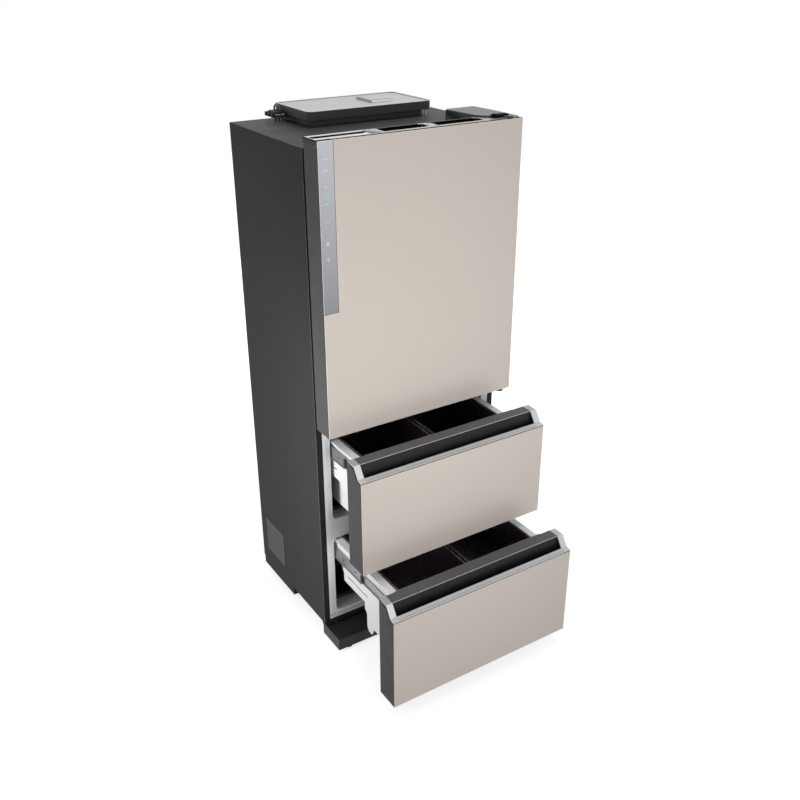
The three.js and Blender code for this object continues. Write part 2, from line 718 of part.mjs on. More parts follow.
function innerLiner() {
  const bottom = GROUND_GAP + FACE_BOTTOM_RAIL;
  const top = CABINET_TOP - FRONT_FLANGE - FIT;
  const face = box(-FACE_HALF, FACE_HALF, 0, LINER_WALL, bottom, top);
  const shells = join(face, ...TUBS.map((tub) => tubSolid(tub, LINER_WALL, 0)));
  const hollow = cut(shells, ...TUBS.map((tub) => tubSolid(tub, 0, -1)));
  const ledges = [];
  for (const side of [-1, 1]) {
    for (const level of SHELF_LEVELS) {
      const profile = [
        [LEDGE.front, level],
        [LEDGE.back, level],
        [LEDGE.back, level - LEDGE.height],
        [LEDGE.front + LEDGE.height, level - LEDGE.height],
      ];
      const span = onSide(side, OPENING_HALF - LEDGE.reach, OPENING_HALF + BITE);
      ledges.push(alongX(profile, ...span));
    }
    for (const height of [MIDDLE_SLIDE_HEIGHT, LOWER_SLIDE_HEIGHT]) {
      ledges.push(alongY(slideSections(side, height).fixed, ...slideSpan));
    }
  }
  return join(hollow, ...ledges);
}

// ---------------------------------------------------------------- door and drawer fronts

// A plate across the front with chamfered face edges, from an outline in (x, z).
function facePanel(points) {
  const shape = new THREE.Shape(points.map(([u, v]) => new THREE.Vector2(u, v)));
  const options = {
    depth: FACE_PANEL - FACE_EDGE,
    bevelEnabled: true,
    bevelThickness: FACE_EDGE,
    bevelSize: FACE_EDGE,
    bevelOffset: -FACE_EDGE,
    bevelSegments: 1,
  };
  const rearFace = FRONT_FACE + FACE_PANEL;
  const geometry = new THREE.ExtrudeGeometry(shape, options).applyMatrix4(FROM_XZ);
  const chamfered = solid(geometry.translate(0, rearFace, 0));
  return chamfered.intersect(box(-HALF, HALF, FRONT_FACE, rearFace, 0, doorFront.top));
}

// Rubber ring round an opening: a wide base on the front and a narrower bulb towards the cabinet.
function gasket(tub) {
  const ring = (width, y0, y1) => {
    const near = (GASKET_WIDTH - width) / 2 + 1;
    const far = near + width;
    const outer = rect(-OPENING_HALF - far, OPENING_HALF + far, tub.bottom - far, tub.top + far);
    const inner = rect(-OPENING_HALF - near, OPENING_HALF + near, tub.bottom - near, tub.top + near);
    return alongY(
      rounded(outer, OPENING_RADIUS + far, 2),
      y0,
      y1,
      rounded(inner, OPENING_RADIUS + near, 2),
    );
  };
  const base = FRONT_BACK + FIT;
  const bulb = base + GASKET_BASE;
  return join(ring(GASKET_WIDTH, base, bulb), ring(GASKET_BULB, bulb - BITE, -FIT));
}

// Side view of the handle from the end cap's flat top down to the face, as the trim's outer line.
function handleLine(top) {
  const lipFront = top - HANDLE_LIP_DROP;
  return [
    [FRONT_FACE + HANDLE_FLAT_BACK + HANDLE_CAP_REACH, top],
    [FRONT_FACE + HANDLE_FLAT_BACK, top],
    [FRONT_FACE + HANDLE_LIP_DEPTH, lipFront + HANDLE_LIP_RISE],
    [FRONT_FACE, lipFront],
    [FRONT_FACE, lipFront - HANDLE_FRONT_LAP],
  ];
}

// Silver trim: a lip across the whole front with a cap climbing the chamfer at each end.
function handleTrim(front) {
  const line = handleLine(front.top);
  const caps = [-1, 1].map((side) =>
    alongX(folded(line, -HANDLE_SKIN), ...onSide(side, HALF - HANDLE_CAP_WIDTH, HALF)),
  );
  const lipBack = FRONT_FACE + HANDLE_LIP_DEPTH;
  const lipLine = [[lipBack, front.top - HANDLE_LIP_DROP + HANDLE_LIP_RISE], ...line.slice(3)];
  return join(alongX(folded(lipLine, -HANDLE_SKIN), -HALF, HALF), ...caps);
}

// Grey casing: the end blocks follow the trim's underside, and between them the top flat runs to
// the finger pocket behind the lip.
function drawerCasing(front) {
  const { bottom, top } = front;
  const panelBack = FRONT_FACE + FACE_PANEL + FIT;
  const trimBack = FRONT_FACE + HANDLE_FLAT_BACK + HANDLE_CAP_REACH + FIT;
  const line = handleLine(top);
  const underTrim = folded(line, -HANDLE_SKIN - FIT).slice(line.length);
  const [, , lipRear, chamferTop] = underTrim;
  const slope = HANDLE_LIP_RISE / HANDLE_LIP_DEPTH;
  const underLip = (y) => [y, lipRear[1] + (y - lipRear[0]) * slope];
  const endOutline = [
    [FRONT_BACK, bottom],
    [FRONT_BACK, top],
    [trimBack, top],
    [trimBack, top - HANDLE_SKIN - FIT],
    chamferTop,
    lipRear,
    underLip(panelBack),
    [panelBack, bottom],
  ];
  const pocketBack = FRONT_FACE + HANDLE_POCKET_BACK;
  const pocketFloor = top - HANDLE_POCKET_DROP;
  const middleOutline = [
    [FRONT_BACK, bottom],
    [FRONT_BACK, top],
    [FRONT_FACE + HANDLE_FLAT_BACK, top],
    [pocketBack, pocketFloor + HANDLE_POCKET_FOOT],
    [pocketBack, pocketFloor],
    [FRONT_FACE + HANDLE_LIP_DEPTH, pocketFloor],
    underLip(FRONT_FACE + HANDLE_LIP_DEPTH),
    underLip(panelBack),
    [panelBack, bottom],
  ];
  const inner = HALF - HANDLE_CAP_WIDTH - FIT;
  const ends = [-1, 1].map((side) => alongX(endOutline, ...onSide(side, inner - BITE, HALF)));
  return join(alongX(middleOutline, -inner, inner), ...ends);
}

function drawerFacePanel(front) {
  const top = front.top - HANDLE_LIP_DROP - HANDLE_FRONT_LAP - FIT;
  return facePanel(rect(-HALF, HALF, front.bottom, top));
}

// ---------------------------------------------------------------- drawer boxes and bins

// Side view of a drawer tub, shrunk inwards by the given amount; the lower one steps up at the rear.
function boxProfile(size, shrink, top) {
  const front = DRAWER_TUB_FRONT - DRAWER_WALL + shrink;
  const back = size.depth - DRAWER_WALL - shrink;
  const bottom = size.bottom + shrink;
  if (!size.legDepth) {
    return rounded(
      [
        [front, bottom, LEG_RADIUS],
        [back, bottom, LEG_RADIUS],
        [back, top],
        [front, top],
      ],
      0,
    );
  }
  const leg = size.legDepth - shrink;
  const step = size.skirtBottom + shrink;
  return rounded(
    [
      [front, bottom, LEG_RADIUS],
      [leg, bottom, LEG_RADIUS],
      [leg, step],
      [back, step, LEG_RADIUS],
      [back, top],
      [front, top],
    ],
    0,
  );
}

// Side view of a drawer's skirt, from its front edge to the box's rear.
function skirtProfile(size, front) {
  const top = size.top - BITE;
  const { step, legDepth, skirtBottom, bottom, depth } = size;
  if (!legDepth) {
    return [
      [front, skirtBottom],
      [step.at - step.run, skirtBottom],
      [step.at, skirtBottom + step.rise],
      [depth, skirtBottom + step.rise],
      [depth, top],
      [front, top],
    ];
  }
  const foot = bottom + LOWER_FOOT.rise;
  const shoulder = skirtBottom - LOWER_SHOULDER.drop;
  return rounded(
    [
      [front, foot],
      [legDepth - LOWER_FOOT.depth, foot],
      [legDepth - LOWER_FOOT.depth + LOWER_FOOT.rise / 2, bottom],
      [legDepth, bottom, LEG_RADIUS],
      [legDepth, shoulder - LOWER_SHOULDER.reach],
      [legDepth + LOWER_SHOULDER.reach, shoulder],
      [legDepth + LOWER_SHOULDER.reach, skirtBottom],
      [size.skirtDepth, skirtBottom, LEG_RADIUS / 4],
      [size.skirtDepth, size.slideBottom, LOWER_SKIRT_RADIUS],
      [depth, size.slideBottom],
      [depth, top],
      [front, top],
    ],
    0,
  );
}

// Tub with a wide rim over the slides; the skirts below the rim carry the slides' drawer members.
function drawerBox(size, slideHeight) {
  const outerHalf = OPENING_HALF - SLIDE_DEPTH - FIT;
  const innerHalf = DRAWER_TUB_HALF - DRAWER_WALL;
  const front = FRONT_BACK + FIT;
  const rimBottom = size.top - DRAWER_RIM;
  const tub = alongX(boxProfile(size, 0, size.top), -DRAWER_TUB_HALF, DRAWER_TUB_HALF);
  const cavity = alongX(boxProfile(size, DRAWER_WALL, size.top + 1), -innerHalf, innerHalf);
  const rim = box(-DRAWER_RIM_HALF, DRAWER_RIM_HALF, front, size.depth, rimBottom, size.top);
  const skirtOutline = skirtProfile(size, front);
  const skirts = [-1, 1].map((side) =>
    alongX(skirtOutline, ...onSide(side, outerHalf - DRAWER_WALL, outerHalf)),
  );
  const frontWall = box(
    -outerHalf,
    outerHalf,
    front,
    front + DRAWER_WALL,
    size.legDepth ? size.bottom + LOWER_FOOT.rise : size.skirtBottom,
    size.top - BITE,
  );
  const spacer = [-1, 1].map((side) =>
    sideBox(
      side,
      DRAWER_TUB_HALF - BITE,
      outerHalf - DRAWER_WALL + BITE,
      size.depth - 2 * DRAWER_WALL,
      size.depth - DRAWER_WALL,
      size.slideBottom ?? size.skirtBottom + size.step.rise,
      size.top - BITE,
    ),
  );
  const tubToFront = box(
    -DRAWER_TUB_HALF,
    DRAWER_TUB_HALF,
    front + BITE,
    DRAWER_TUB_FRONT,
    slideHeight - SLIDE_HEIGHT / 2,
    rimBottom + BITE,
  );
  const { from, to, drop } = size.slot;
  const slots = [-1, 1].map((side) =>
    sideBox(
      side,
      outerHalf - DRAWER_WALL - 1,
      outerHalf + 1,
      from,
      to,
      size.top - drop,
      size.top - drop + SKIRT_SLOT_HEIGHT,
    ),
  );
  return cut(join(tub, rim, ...skirts, frontWall, ...spacer, tubToFront), cavity, ...slots);
}

// Lift-out bin hanging by its rim on the drawer's rim, one on each side.
function drawerBin(size, side) {
  const near = BIN_GAP / 2;
  const far = DRAWER_TUB_HALF - DRAWER_WALL - BIN_PLAY;
  const shrink = DRAWER_WALL + BIN_PLAY;
  const rimBottom = size.top + FIT;
  const top = rimBottom + BIN_RIM;
  const outer = alongX(boxProfile(size, shrink, top), ...onSide(side, near, far));
  const inside = onSide(side, near + BIN_WALL, far - BIN_WALL);
  const hollow = alongX(boxProfile(size, shrink + BIN_WALL, top + 1), ...inside);
  const [rimFront, rimBack] = [DRAWER_TUB_FRONT - BIN_RIM_LAP, size.depth - 2 * DRAWER_WALL + BIN_RIM_LAP];
  const rim = box(
    ...onSide(side, near - BIN_RIM_LAP, far + BIN_PLAY + BIN_RIM_LAP),
    rimFront,
    rimBack,
    rimBottom,
    top,
  );
  return cut(join(outer, rim), hollow);
}

// ---------------------------------------------------------------- door

const hingeAxis = { x: HALF - HINGE_INSET, y: FRONT_FACE + HINGE_BACK };
const casingBack = FRONT_BACK - DOOR_LINER_PLATE - FIT;
const panelRear = FRONT_FACE + FACE_PANEL + FIT;
const capBottom = doorFront.top - DOOR_CAP_HEIGHT;

function pinBore(z0, z1) {
  return alongZ(circle(hingeAxis.x, hingeAxis.y, PIN_RADIUS + FIT, 16), z0, z1);
}

function doorCasing() {
  const body = box(-HALF, HALF, panelRear, casingBack, doorFront.bottom, capBottom - FIT);
  const grip = alongX(
    rounded(
      [
        [FRONT_FACE + GRIP.front, doorFront.bottom - 1],
        [FRONT_FACE + GRIP.back, doorFront.bottom - 1],
        [FRONT_FACE + GRIP.back, doorFront.bottom + GRIP.height, 8],
        [FRONT_FACE + GRIP.front, doorFront.bottom + GRIP.height, 8],
      ],
      0,
    ),
    GRIP.inset - HALF,
    GRIP.inset + GRIP.width - HALF,
  );
  const lowerBore = pinBore(doorFront.bottom - 1, doorFront.bottom + PIN_DEPTH);
  const upperBore = pinBore(doorFront.top - PIN_DEPTH - 2, capBottom);
  return cut(body, grip, lowerBore, upperBore);
}

function doorTopCap() {
  const cap = box(-HALF, HALF, panelRear, FRONT_BACK, capBottom, doorFront.top);
  const floor = doorFront.top - DOOR_POCKET_DEPTH;
  const { narrow, wide, inset, step, gap } = CAP_POCKET;
  const near = FRONT_FACE + inset;
  const hinge = hingeAxis.x - 3 * gap - step;
  const pockets = [
    rect(step - HALF, HALF / 2 + step - HALF, near, near + narrow),
    rect(HALF / 2 + step + 1.5 * gap - HALF, hinge - 5.4 * gap - gap, near + step, near + step + wide),
    rect(hinge - 5.4 * gap, hinge, near + step, near + step + wide),
  ].map((outline) => alongZ(rounded(outline, step / 2, 2), floor, doorFront.top + 1));
  return cut(cap, ...pockets, pinBore(capBottom - 1, doorFront.top + 1));
}

function doorFacePanel() {
  const notchX = -HALF + STRIP_WIDTH + FIT;
  const notchZ = doorFront.top - STRIP_HEIGHT - FIT;
  return facePanel([
    [-HALF, doorFront.bottom],
    [HALF, doorFront.bottom],
    [HALF, doorFront.top],
    [notchX, doorFront.top],
    [notchX, notchZ],
    [-HALF, notchZ],
  ]);
}

function controlStrip() {
  return facePanel(rect(-HALF, -HALF + STRIP_WIDTH, doorFront.top - STRIP_HEIGHT, doorFront.top));
}

// Inner skin of the door: a plate behind the gasket and a raised ring that carries the door bins.
function doorLiner() {
  const half = HALF - DOOR_LINER_MARGIN;
  const bottom = doorFront.bottom + DOOR_LINER_MARGIN / 2;
  const top = capBottom - DOOR_LINER_MARGIN;
  const plate = box(-half, half, casingBack + FIT, FRONT_BACK, bottom, top);
  const low = upperTub.bottom + DYKE_MARGIN;
  const high = upperTub.top - DYKE_MARGIN;
  const outer = rounded(rect(-DYKE_HALF, DYKE_HALF, low, high), DYKE_RADIUS);
  const inner = rounded(
    rect(-DYKE_HALF + DYKE_WIDTH, DYKE_HALF - DYKE_WIDTH, low + DYKE_WIDTH, high - DYKE_WIDTH),
    DYKE_RADIUS / 2,
  );
  return join(plate, alongY(outer, FRONT_BACK - BITE, DYKE_DEPTH, inner));
}

// Bottle bin between the door liner's side walls.
function doorBin(level) {
  const half = DYKE_HALF - DYKE_WIDTH - FIT;
  const front = FRONT_BACK + FIT;
  const profile = (shrink, top) =>
    rounded(
      [
        [front + shrink, level + shrink],
        [DOOR_BIN_DEPTH - DOOR_BIN_FOOT - shrink, level + shrink, DOOR_BIN_FOOT - BIN_PLAY],
        [DOOR_BIN_DEPTH - shrink, level + DOOR_BIN_SLOPE, DOOR_BIN_SLOPE / 2],
        [DOOR_BIN_DEPTH - shrink, top],
        [front + shrink, top],
      ],
      0,
    );
  const top = level + DOOR_BIN_HEIGHT;
  const outer = alongX(profile(0, top), -half, half);
  const hollow = alongX(profile(BIN_WALL, top + 1), BIN_WALL - half, half - BIN_WALL);
  return cut(outer, hollow);
}

// ---------------------------------------------------------------- hinges

// Distances from the hinge axis, to the left and right, and back from the cabinet's front face.
const TOP_BRACKET = { left: 85, right: 4, back: 128, web: 9, neck: 60, throat: 10, corner: 10 };
const BRACKET_NOSE = { left: 14, tip: 6, right: 8, front: 14, side: 10, radius: 6 };
const COVER_PLAN = { left: 114, shoulder: 102, throat: 89, right: 14, back: 147, lap: 26, front: 4, radius: 14 };
const LOW_BRACKET = { left: 45, edge: 5, neck: 30, rise: 2, drop: 13, collar: 4 };

// The bracket's rounded nose round the hinge pin, from its left flank to its right.
const bracketNose = (neckBack) => [
  [hingeAxis.x - BRACKET_NOSE.left, hingeAxis.y + neckBack, BRACKET_NOSE.radius],
  [hingeAxis.x - BRACKET_NOSE.tip, hingeAxis.y - BRACKET_NOSE.front],
  [hingeAxis.x + BRACKET_NOSE.right, hingeAxis.y - BRACKET_NOSE.front, BRACKET_NOSE.radius],
];

// Z-shaped bracket from the cabinet's top over the door, with the upper hinge pin.
function topHingeBracket() {
  const foot = CABINET_TOP + FIT;
  const arm = doorFront.top + HINGE_RUN;
  const { left, right, back, web, neck, throat, corner } = TOP_BRACKET;
  const profile = folded(
    [
      [back, foot + HINGE_PLATE],
      [web, foot + HINGE_PLATE],
      [web, arm + HINGE_PLATE],
      [hingeAxis.y - BRACKET_NOSE.front, arm + HINGE_PLATE],
    ],
    -HINGE_PLATE,
  );
  const plan = rounded(
    [
      [hingeAxis.x - left, back, corner],
      [hingeAxis.x - left, web - HINGE_PLATE],
      [hingeAxis.x - neck, -throat],
      ...bracketNose(-BRACKET_NOSE.right),
      [hingeAxis.x + BRACKET_NOSE.side, hingeAxis.y + BRACKET_NOSE.radius],
      [hingeAxis.x + right, web - HINGE_PLATE],
      [hingeAxis.x + right, back, corner],
    ],
    0,
  );
  const sheet = alongX(profile, hingeAxis.x - left - 1, HALF);
  const shaped = sheet.intersect(alongZ(plan, CABINET_TOP, arm + HINGE_PLATE + 1));
  const pin = circle(hingeAxis.x, hingeAxis.y, PIN_RADIUS, 16);
  return join(shaped, alongZ(pin, doorFront.top - PIN_DEPTH, arm + BITE));
}

// Moulded cover over the bracket: closed down to the cabinet's top, and a lid over the door.
function hingeCover() {
  const lid = doorFront.top + HINGE_RUN + HINGE_PLATE + FIT + COVER_WALL;
  const { left, shoulder, throat, right, back, lap, front, radius } = COVER_PLAN;
  const side = hingeAxis.x + right;
  const plan = (inset) =>
    rounded(
      [
        [hingeAxis.x - left + inset, back - inset, radius],
        [hingeAxis.x - shoulder + inset, -BRACKET_NOSE.radius],
        [hingeAxis.x - throat + inset, inset - lap, radius],
        [hingeAxis.x - BRACKET_NOSE.side, FRONT_FACE + front + inset, radius / 2],
        [side - inset, FRONT_FACE + 2 * front + inset, radius / 2],
        [side - inset, lap + radius],
        [side - BRACKET_NOSE.tip - inset, back - inset, radius],
      ],
      0,
    );
  const shell = alongZ(plan(0), CABINET_TOP + FIT, lid);
  const cavity = alongZ(plan(COVER_WALL), CABINET_TOP, lid - COVER_WALL);
  const doorRoom = box(0, HALF + 1, FRONT_FACE - 1, -2, CABINET_TOP, doorFront.top + HINGE_RUN);
  return cut(shell, cavity, doorRoom);
}

// Angle bracket between the door and the middle drawer, with the lower hinge pin and its collar.
function lowerHingeBracket() {
  const { left, edge, neck, rise, drop, collar } = LOW_BRACKET;
  const armTop = doorFront.bottom - drop;
  const wallRight = HALF - HINGE_PLATE;
  const wall = box(
    hingeAxis.x - left,
    wallRight,
    -FIT - HINGE_PLATE,
    -FIT,
    middleFront.top + rise,
    doorFront.bottom - rise,
  );
  const arm = alongZ(
    rounded(
      [
        [hingeAxis.x - left, -FIT],
        [hingeAxis.x - left, -neck],
        ...bracketNose(-BRACKET_NOSE.tip),
        [HALF - edge, hingeAxis.y + BRACKET_NOSE.right],
        [HALF - edge, -FIT],
      ],
      0,
    ),
    armTop - HINGE_PLATE,
    armTop,
  );
  const at = (radius, z0, z1) => alongZ(circle(hingeAxis.x, hingeAxis.y, radius, 16), z0, z1);
  const sleeve = at(PIN_RADIUS + collar, armTop - BITE, doorFront.bottom - FIT);
  const pin = at(PIN_RADIUS, armTop - BITE, doorFront.bottom + PIN_DEPTH - collar);
  return join(wall, arm, sleeve, pin);
}

// ---------------------------------------------------------------- control box on the top

const controlPlan = ({ left, right, front, rear }, inset = 0) =>
  rounded(
    rect(left - HALF + inset, HALF - right - inset, front + inset, CABINET_DEPTH - rear - inset),
    CONTROL_RADIUS,
  );

// Lower tier of the control box, with a clip for the door's harness at its left rear.
function controlTier() {
  const z0 = CABINET_TOP + FIT;
  const tier = alongZ(controlPlan(CONTROL_TIER), z0, z0 + CONTROL_TIER.height);
  const { reach, rear, depth, level, thickness, prong } = CONTROL_CLIP;
  const tip = CONTROL_TIER.left - HALF - reach;
  const y0 = CABINET_DEPTH - CONTROL_TIER.rear - rear - depth;
  const arm = box(tip, tip + reach + BITE, y0, y0 + depth, z0 + level, z0 + level + thickness);
  const pins = [0, 1, 2].map((i) => {
    const x = tip + prong * (0.5 + 2 * i);
    return box(x, x + prong, y0 + prong, y0 + 2 * prong, z0, z0 + level + BITE);
  });
  return join(tier, arm, ...pins);
}

function controlLid() {
  const z0 = CABINET_TOP + FIT + CONTROL_TIER.height + FIT;
  const z1 = z0 + CONTROL_LID.height;
  const plate = z1 - COVER_WALL;
  const body = alongZ(controlPlan(CONTROL_LID), z0, z1);
  const recess = alongZ(controlPlan(CONTROL_LID, CONTROL_INSET), plate, z1 + 1);
  const { right, width, front, depth, rise } = CONTROL_BLOCK;
  const x1 = HALF - CONTROL_LID.right - right;
  const y0 = CONTROL_LID.front + front;
  const slope = rise + COVER_WALL;
  const block = alongX(
    [
      [y0, plate - BITE],
      [y0 + depth, plate - BITE],
      [y0 + depth, z1 + rise],
      [y0 + slope, z1 + rise],
    ],
    x1 - width,
    x1,
  );
  return join(cut(body, recess), block);
}

// ---------------------------------------------------------------- upper compartment

function shelf(level) {
  const half = OPENING_HALF - SHELF.play;
  const z0 = level + FIT;
  const glassTop = z0 + SHELF.rim - SHELF.drop;
  const outer = rounded(rect(-half, half, SHELF.front, SHELF.back), SHELF.corner);
  const inner = rect(
    SHELF.rimWidth - half,
    half - SHELF.rimWidth,
    SHELF.front + SHELF.rimWidth,
    SHELF.back - SHELF.rimWidth,
  );
  const frame = alongZ(outer, z0, z0 + SHELF.rim, rounded(inner, SHELF.corner / 2));
  const glass = box(
    SHELF.rimWidth - half - BITE,
    half - SHELF.rimWidth + BITE,
    SHELF.front + SHELF.rimWidth - BITE,
    SHELF.back - SHELF.rimWidth + BITE,
    glassTop - SHELF.glass,
    glassTop,
  );
  return join(frame, glass);
}

const DUCT_SLOT = { length: 124, inset: 30, height: 9, pitch: 20, rows: 5, spacing: 0.32 };
const DUCT_OUTLETS = [-1, 0, 1].map(
  (step) => DUCT_FAN_HEIGHT + step * DUCT_SLOT.spacing * (upperTub.top - upperTub.bottom),
);

function airDuctCover() {
  const back = TUB_DEPTH - FIT;
  const shell = box(-DUCT_HALF, DUCT_HALF, DUCT_FRONT, back, DUCT_BOTTOM, DUCT_TOP);
  const hollow = box(
    DUCT_WALL - DUCT_HALF,
    DUCT_HALF - DUCT_WALL,
    DUCT_FRONT + DUCT_WALL,
    back + 1,
    DUCT_BOTTOM + DUCT_WALL,
    DUCT_TOP - DUCT_WALL,
  );
  const slots = [];
  for (const outlet of DUCT_OUTLETS) {
    for (const side of [-1, 1]) {
      for (let row = 0; row < DUCT_SLOT.rows; row += 1) {
        const z = outlet + (row - (DUCT_SLOT.rows - 1) / 2) * DUCT_SLOT.pitch;
        slots.push(
          sideBox(
            side,
            DUCT_HALF - DUCT_SLOT.inset - DUCT_SLOT.length,
            DUCT_HALF - DUCT_SLOT.inset,
            DUCT_FRONT - 1,
            DUCT_FRONT + DUCT_WALL + 1,
            z - DUCT_SLOT.height / 2,
            z + DUCT_SLOT.height / 2,
          ),
        );
      }
    }
  }
  const intake = alongY(
    circle(0, DUCT_FAN_HEIGHT, DUCT_FAN_RADIUS + 2, 32),
    DUCT_FRONT - 1,
    DUCT_FRONT + DUCT_WALL + 1,
  );
  return cut(shell, hollow, intake, lampBox(0, DUCT_FRONT - 1), ...slots);
}

// The lamp's place in the duct cover, drawn in by the clearance, from the given plane back.
function lampBox(inset, front) {
  const top = DUCT_TOP - LAMP.drop + LAMP.height;
  const rear = DUCT_FRONT + LAMP.thickness;
  return box(inset - LAMP.half, LAMP.half - inset, front, rear, top - LAMP.height + inset, top - inset);
}

const EVAPORATOR = { inset: 51, lift: 55, passes: 8, pitch: 26, tube: 4, bend: 13, setback: 27, margin: 30 };
const FIN = { count: 5, thickness: 1.6, reach: 18 };

// Serpentine tube through a row of upright fins, between two end plates.
function evaporator() {
  const { inset, lift, passes, pitch, tube, bend, setback, margin } = EVAPORATOR;
  const half = DUCT_HALF - inset;
  const depth = DUCT_FRONT + setback;
  const bottom = DUCT_BOTTOM + lift;
  const route = [];
  for (let pass = 0; pass < passes; pass += 1) {
    const z = bottom + pitch * (pass + 0.5);
    const ends = pass % 2 ? [half, -half] : [-half, half];
    route.push([ends[0], depth, z], [ends[1], depth, z]);
  }
  const coil = pipe(route, tube, bend);
  const plates = [];
  const span = half - margin;
  for (let i = 0; i < FIN.count; i += 1) {
    const x = -span + (2 * span * i) / (FIN.count - 1);
    const end = i === 0 || i === FIN.count - 1;
    const [y0, y1] = end
      ? [DUCT_FRONT + DUCT_WALL + 2, TUB_DEPTH - FIT]
      : [depth - FIN.reach, depth + FIN.reach];
    plates.push(box(x - FIN.thickness / 2, x + FIN.thickness / 2, y0, y1, bottom, bottom + pitch * passes));
  }
  return join(coil, ...plates);
}

// ---------------------------------------------------------------- fans

// Axial fan about Z: swept, twisted blades lofted from the hub to the tip.
function fanRotor({ hub, tip, depth, blades, bore }) {
  const stations = 3;
  const across = 4;
  const thickness = 1.8;
  const blade = (turn) => {
    const rings = Array.from({ length: stations }, (_, s) => {
      const share = s / (stations - 1);
      const radius = hub - 1 + (tip - hub + 1) * share;
      const width = (0.95 + 0.1 * share) * ((2 * Math.PI) / blades) * 0.78;
      const lean = turn + 0.22 * share * share;
      const rise = depth * (1 - 0.35 * share);
      const point = (k, skin) => {
        const along = k / (across - 1);
        const angle = lean + width * (along - 0.5);
        const camber = 0.12 * depth * Math.sin(Math.PI * along);
        const z = rise * (along - 0.5) + camber + skin * thickness * 0.5;
        return [radius * Math.cos(angle), radius * Math.sin(angle), z];
      };
      const upper = Array.from({ length: across }, (_, k) => point(k, 1));
      const lower = Array.from({ length: across }, (_, k) => point(across - 1 - k, -1));
      return [...upper, ...lower];
    });
    return lofted(rings, across);
  };
  const barrel = turned(
    [
      [bore, -depth / 2 - 2],
      [hub - 2, -depth / 2 - 2],
      [hub, -depth / 2],
      [hub, depth / 2],
      [hub - 3, depth / 2 + 3],
      [bore, depth / 2 + 3],
      [bore, -depth / 2 - 2],
    ],
    24,
  );
  const all = Array.from({ length: blades }, (_, i) => blade((2 * Math.PI * i) / blades));
  return join(barrel, ...all);
}

// Skin through rings of points, each an upper run followed by the lower run back, with closed ends.
function lofted(rings, across) {
  const size = rings[0].length;
  const index = [];
  const quad = (a, b, c, d) => index.push(a, b, c, a, c, d);
  for (let r = 0; r + 1 < rings.length; r += 1) {
    for (let k = 0; k < size; k += 1) {
      const next = (k + 1) % size;
      quad(r * size + k, r * size + next, (r + 1) * size + next, (r + 1) * size + k);
    }
  }
  const last = (rings.length - 1) * size;
  for (let k = 0; k + 1 < across; k += 1) {
    const [a, b, c, d] = [k, k + 1, size - 2 - k, size - 1 - k];
    quad(d, c, b, a);
    quad(last + a, last + b, last + c, last + d);
  }
  const geometry = new THREE.BufferGeometry();
  geometry.setAttribute("position", new THREE.Float32BufferAttribute(rings.flat(2), 3));
  geometry.setIndex(index);
  return solid(geometry);
}

const DUCT_FAN = { hub: 15, tip: DUCT_FAN_RADIUS - 4, depth: 14, blades: 5, bore: 3 + FIT };
const DUCT_FAN_CENTRE = DUCT_FRONT + 20;
const DUCT_MOTOR = { radius: 22, length: 18, shaft: 3 };

// Small motor on the liner's rear wall behind the duct cover's round intake, with the rotor's shaft.
function ductFanMotor() {
  const rear = TUB_DEPTH - FIT;
  const { radius, length, shaft } = DUCT_MOTOR;
  const housing = alongY(circle(0, DUCT_FAN_HEIGHT, radius, 20), rear - length, rear);
  const spindle = circle(0, DUCT_FAN_HEIGHT, shaft, 12);
  return join(housing, alongY(spindle, DUCT_FAN_CENTRE - DUCT_FAN.depth, rear - length + BITE));
}

// ---------------------------------------------------------------- machine room

const SHROUD = { x: 46, thickness: 4, headroom: 5, setback: 12.5, rear: 12, ring: 12, lip: 3, arm: 3 };
const CONDENSER_FAN = { hub: 18, tip: 64, depth: 22, blades: 7, bore: 3 + FIT };
const FAN_MOTOR = { radius: 24, length: 34, gap: 22, shaft: 3, run: 4 };
const FAN_RISE = 90; // condenser fan's axis above the machine room's floor
const FAN_AXIS = { y: MACHINE_FRONT + MACHINE_DEPTH / 2, z: MACHINE_FLOOR + FAN_RISE };

// Plate with a round opening, a short ring, and the motor on four arms behind it.
function condenserFanShroud() {
  const { x, thickness, headroom, setback, rear, ring, lip, arm } = SHROUD;
  const { y, z } = FAN_AXIS;
  const radius = CONDENSER_FAN.tip + FAN_MOTOR.run;
  const hole = circle(y, z, radius, 28);
  const outline = rect(
    MACHINE_FRONT + setback,
    REAR_FACE - rear,
    MACHINE_FLOOR + FIT,
    MACHINE_CEILING - STEEL - headroom,
  );
  const plate = alongX(outline, x, x + thickness, hole);
  const collar = alongX(circle(y, z, radius + lip, 28), x - ring, x + BITE, hole);
  const motorX = x + thickness + FAN_MOTOR.gap;
  const motor = alongX(circle(y, z, FAN_MOTOR.radius, 20), motorX, motorX + FAN_MOTOR.length);
  const shaft = alongX(circle(y, z, FAN_MOTOR.shaft, 12), x - ring, motorX + BITE);
  const arms = [0, 1, 2, 3].map((i) => {
    const angle = Math.PI / 4 + (i * Math.PI) / 2;
    const at = (reach) => [y + reach * Math.cos(angle), z + reach * Math.sin(angle)];
    const near = at(FAN_MOTOR.radius - 2 * arm);
    const far = at(radius + 2 * lip);
    const level = motorX + arm + 1;
    return pipe([[level, ...near], [level, ...far], [x + 1, ...far]], arm, 2 * arm);
  });
  return join(plate, collar, motor, shaft, ...arms);
}

const CONDENSER = { inset: 29, right: -30, rows: 5, pitch: 30, lift: 20, spacing: 50, tube: 3 };
const CONDENSER_PLATE = { margin: 26, lap: 16 };

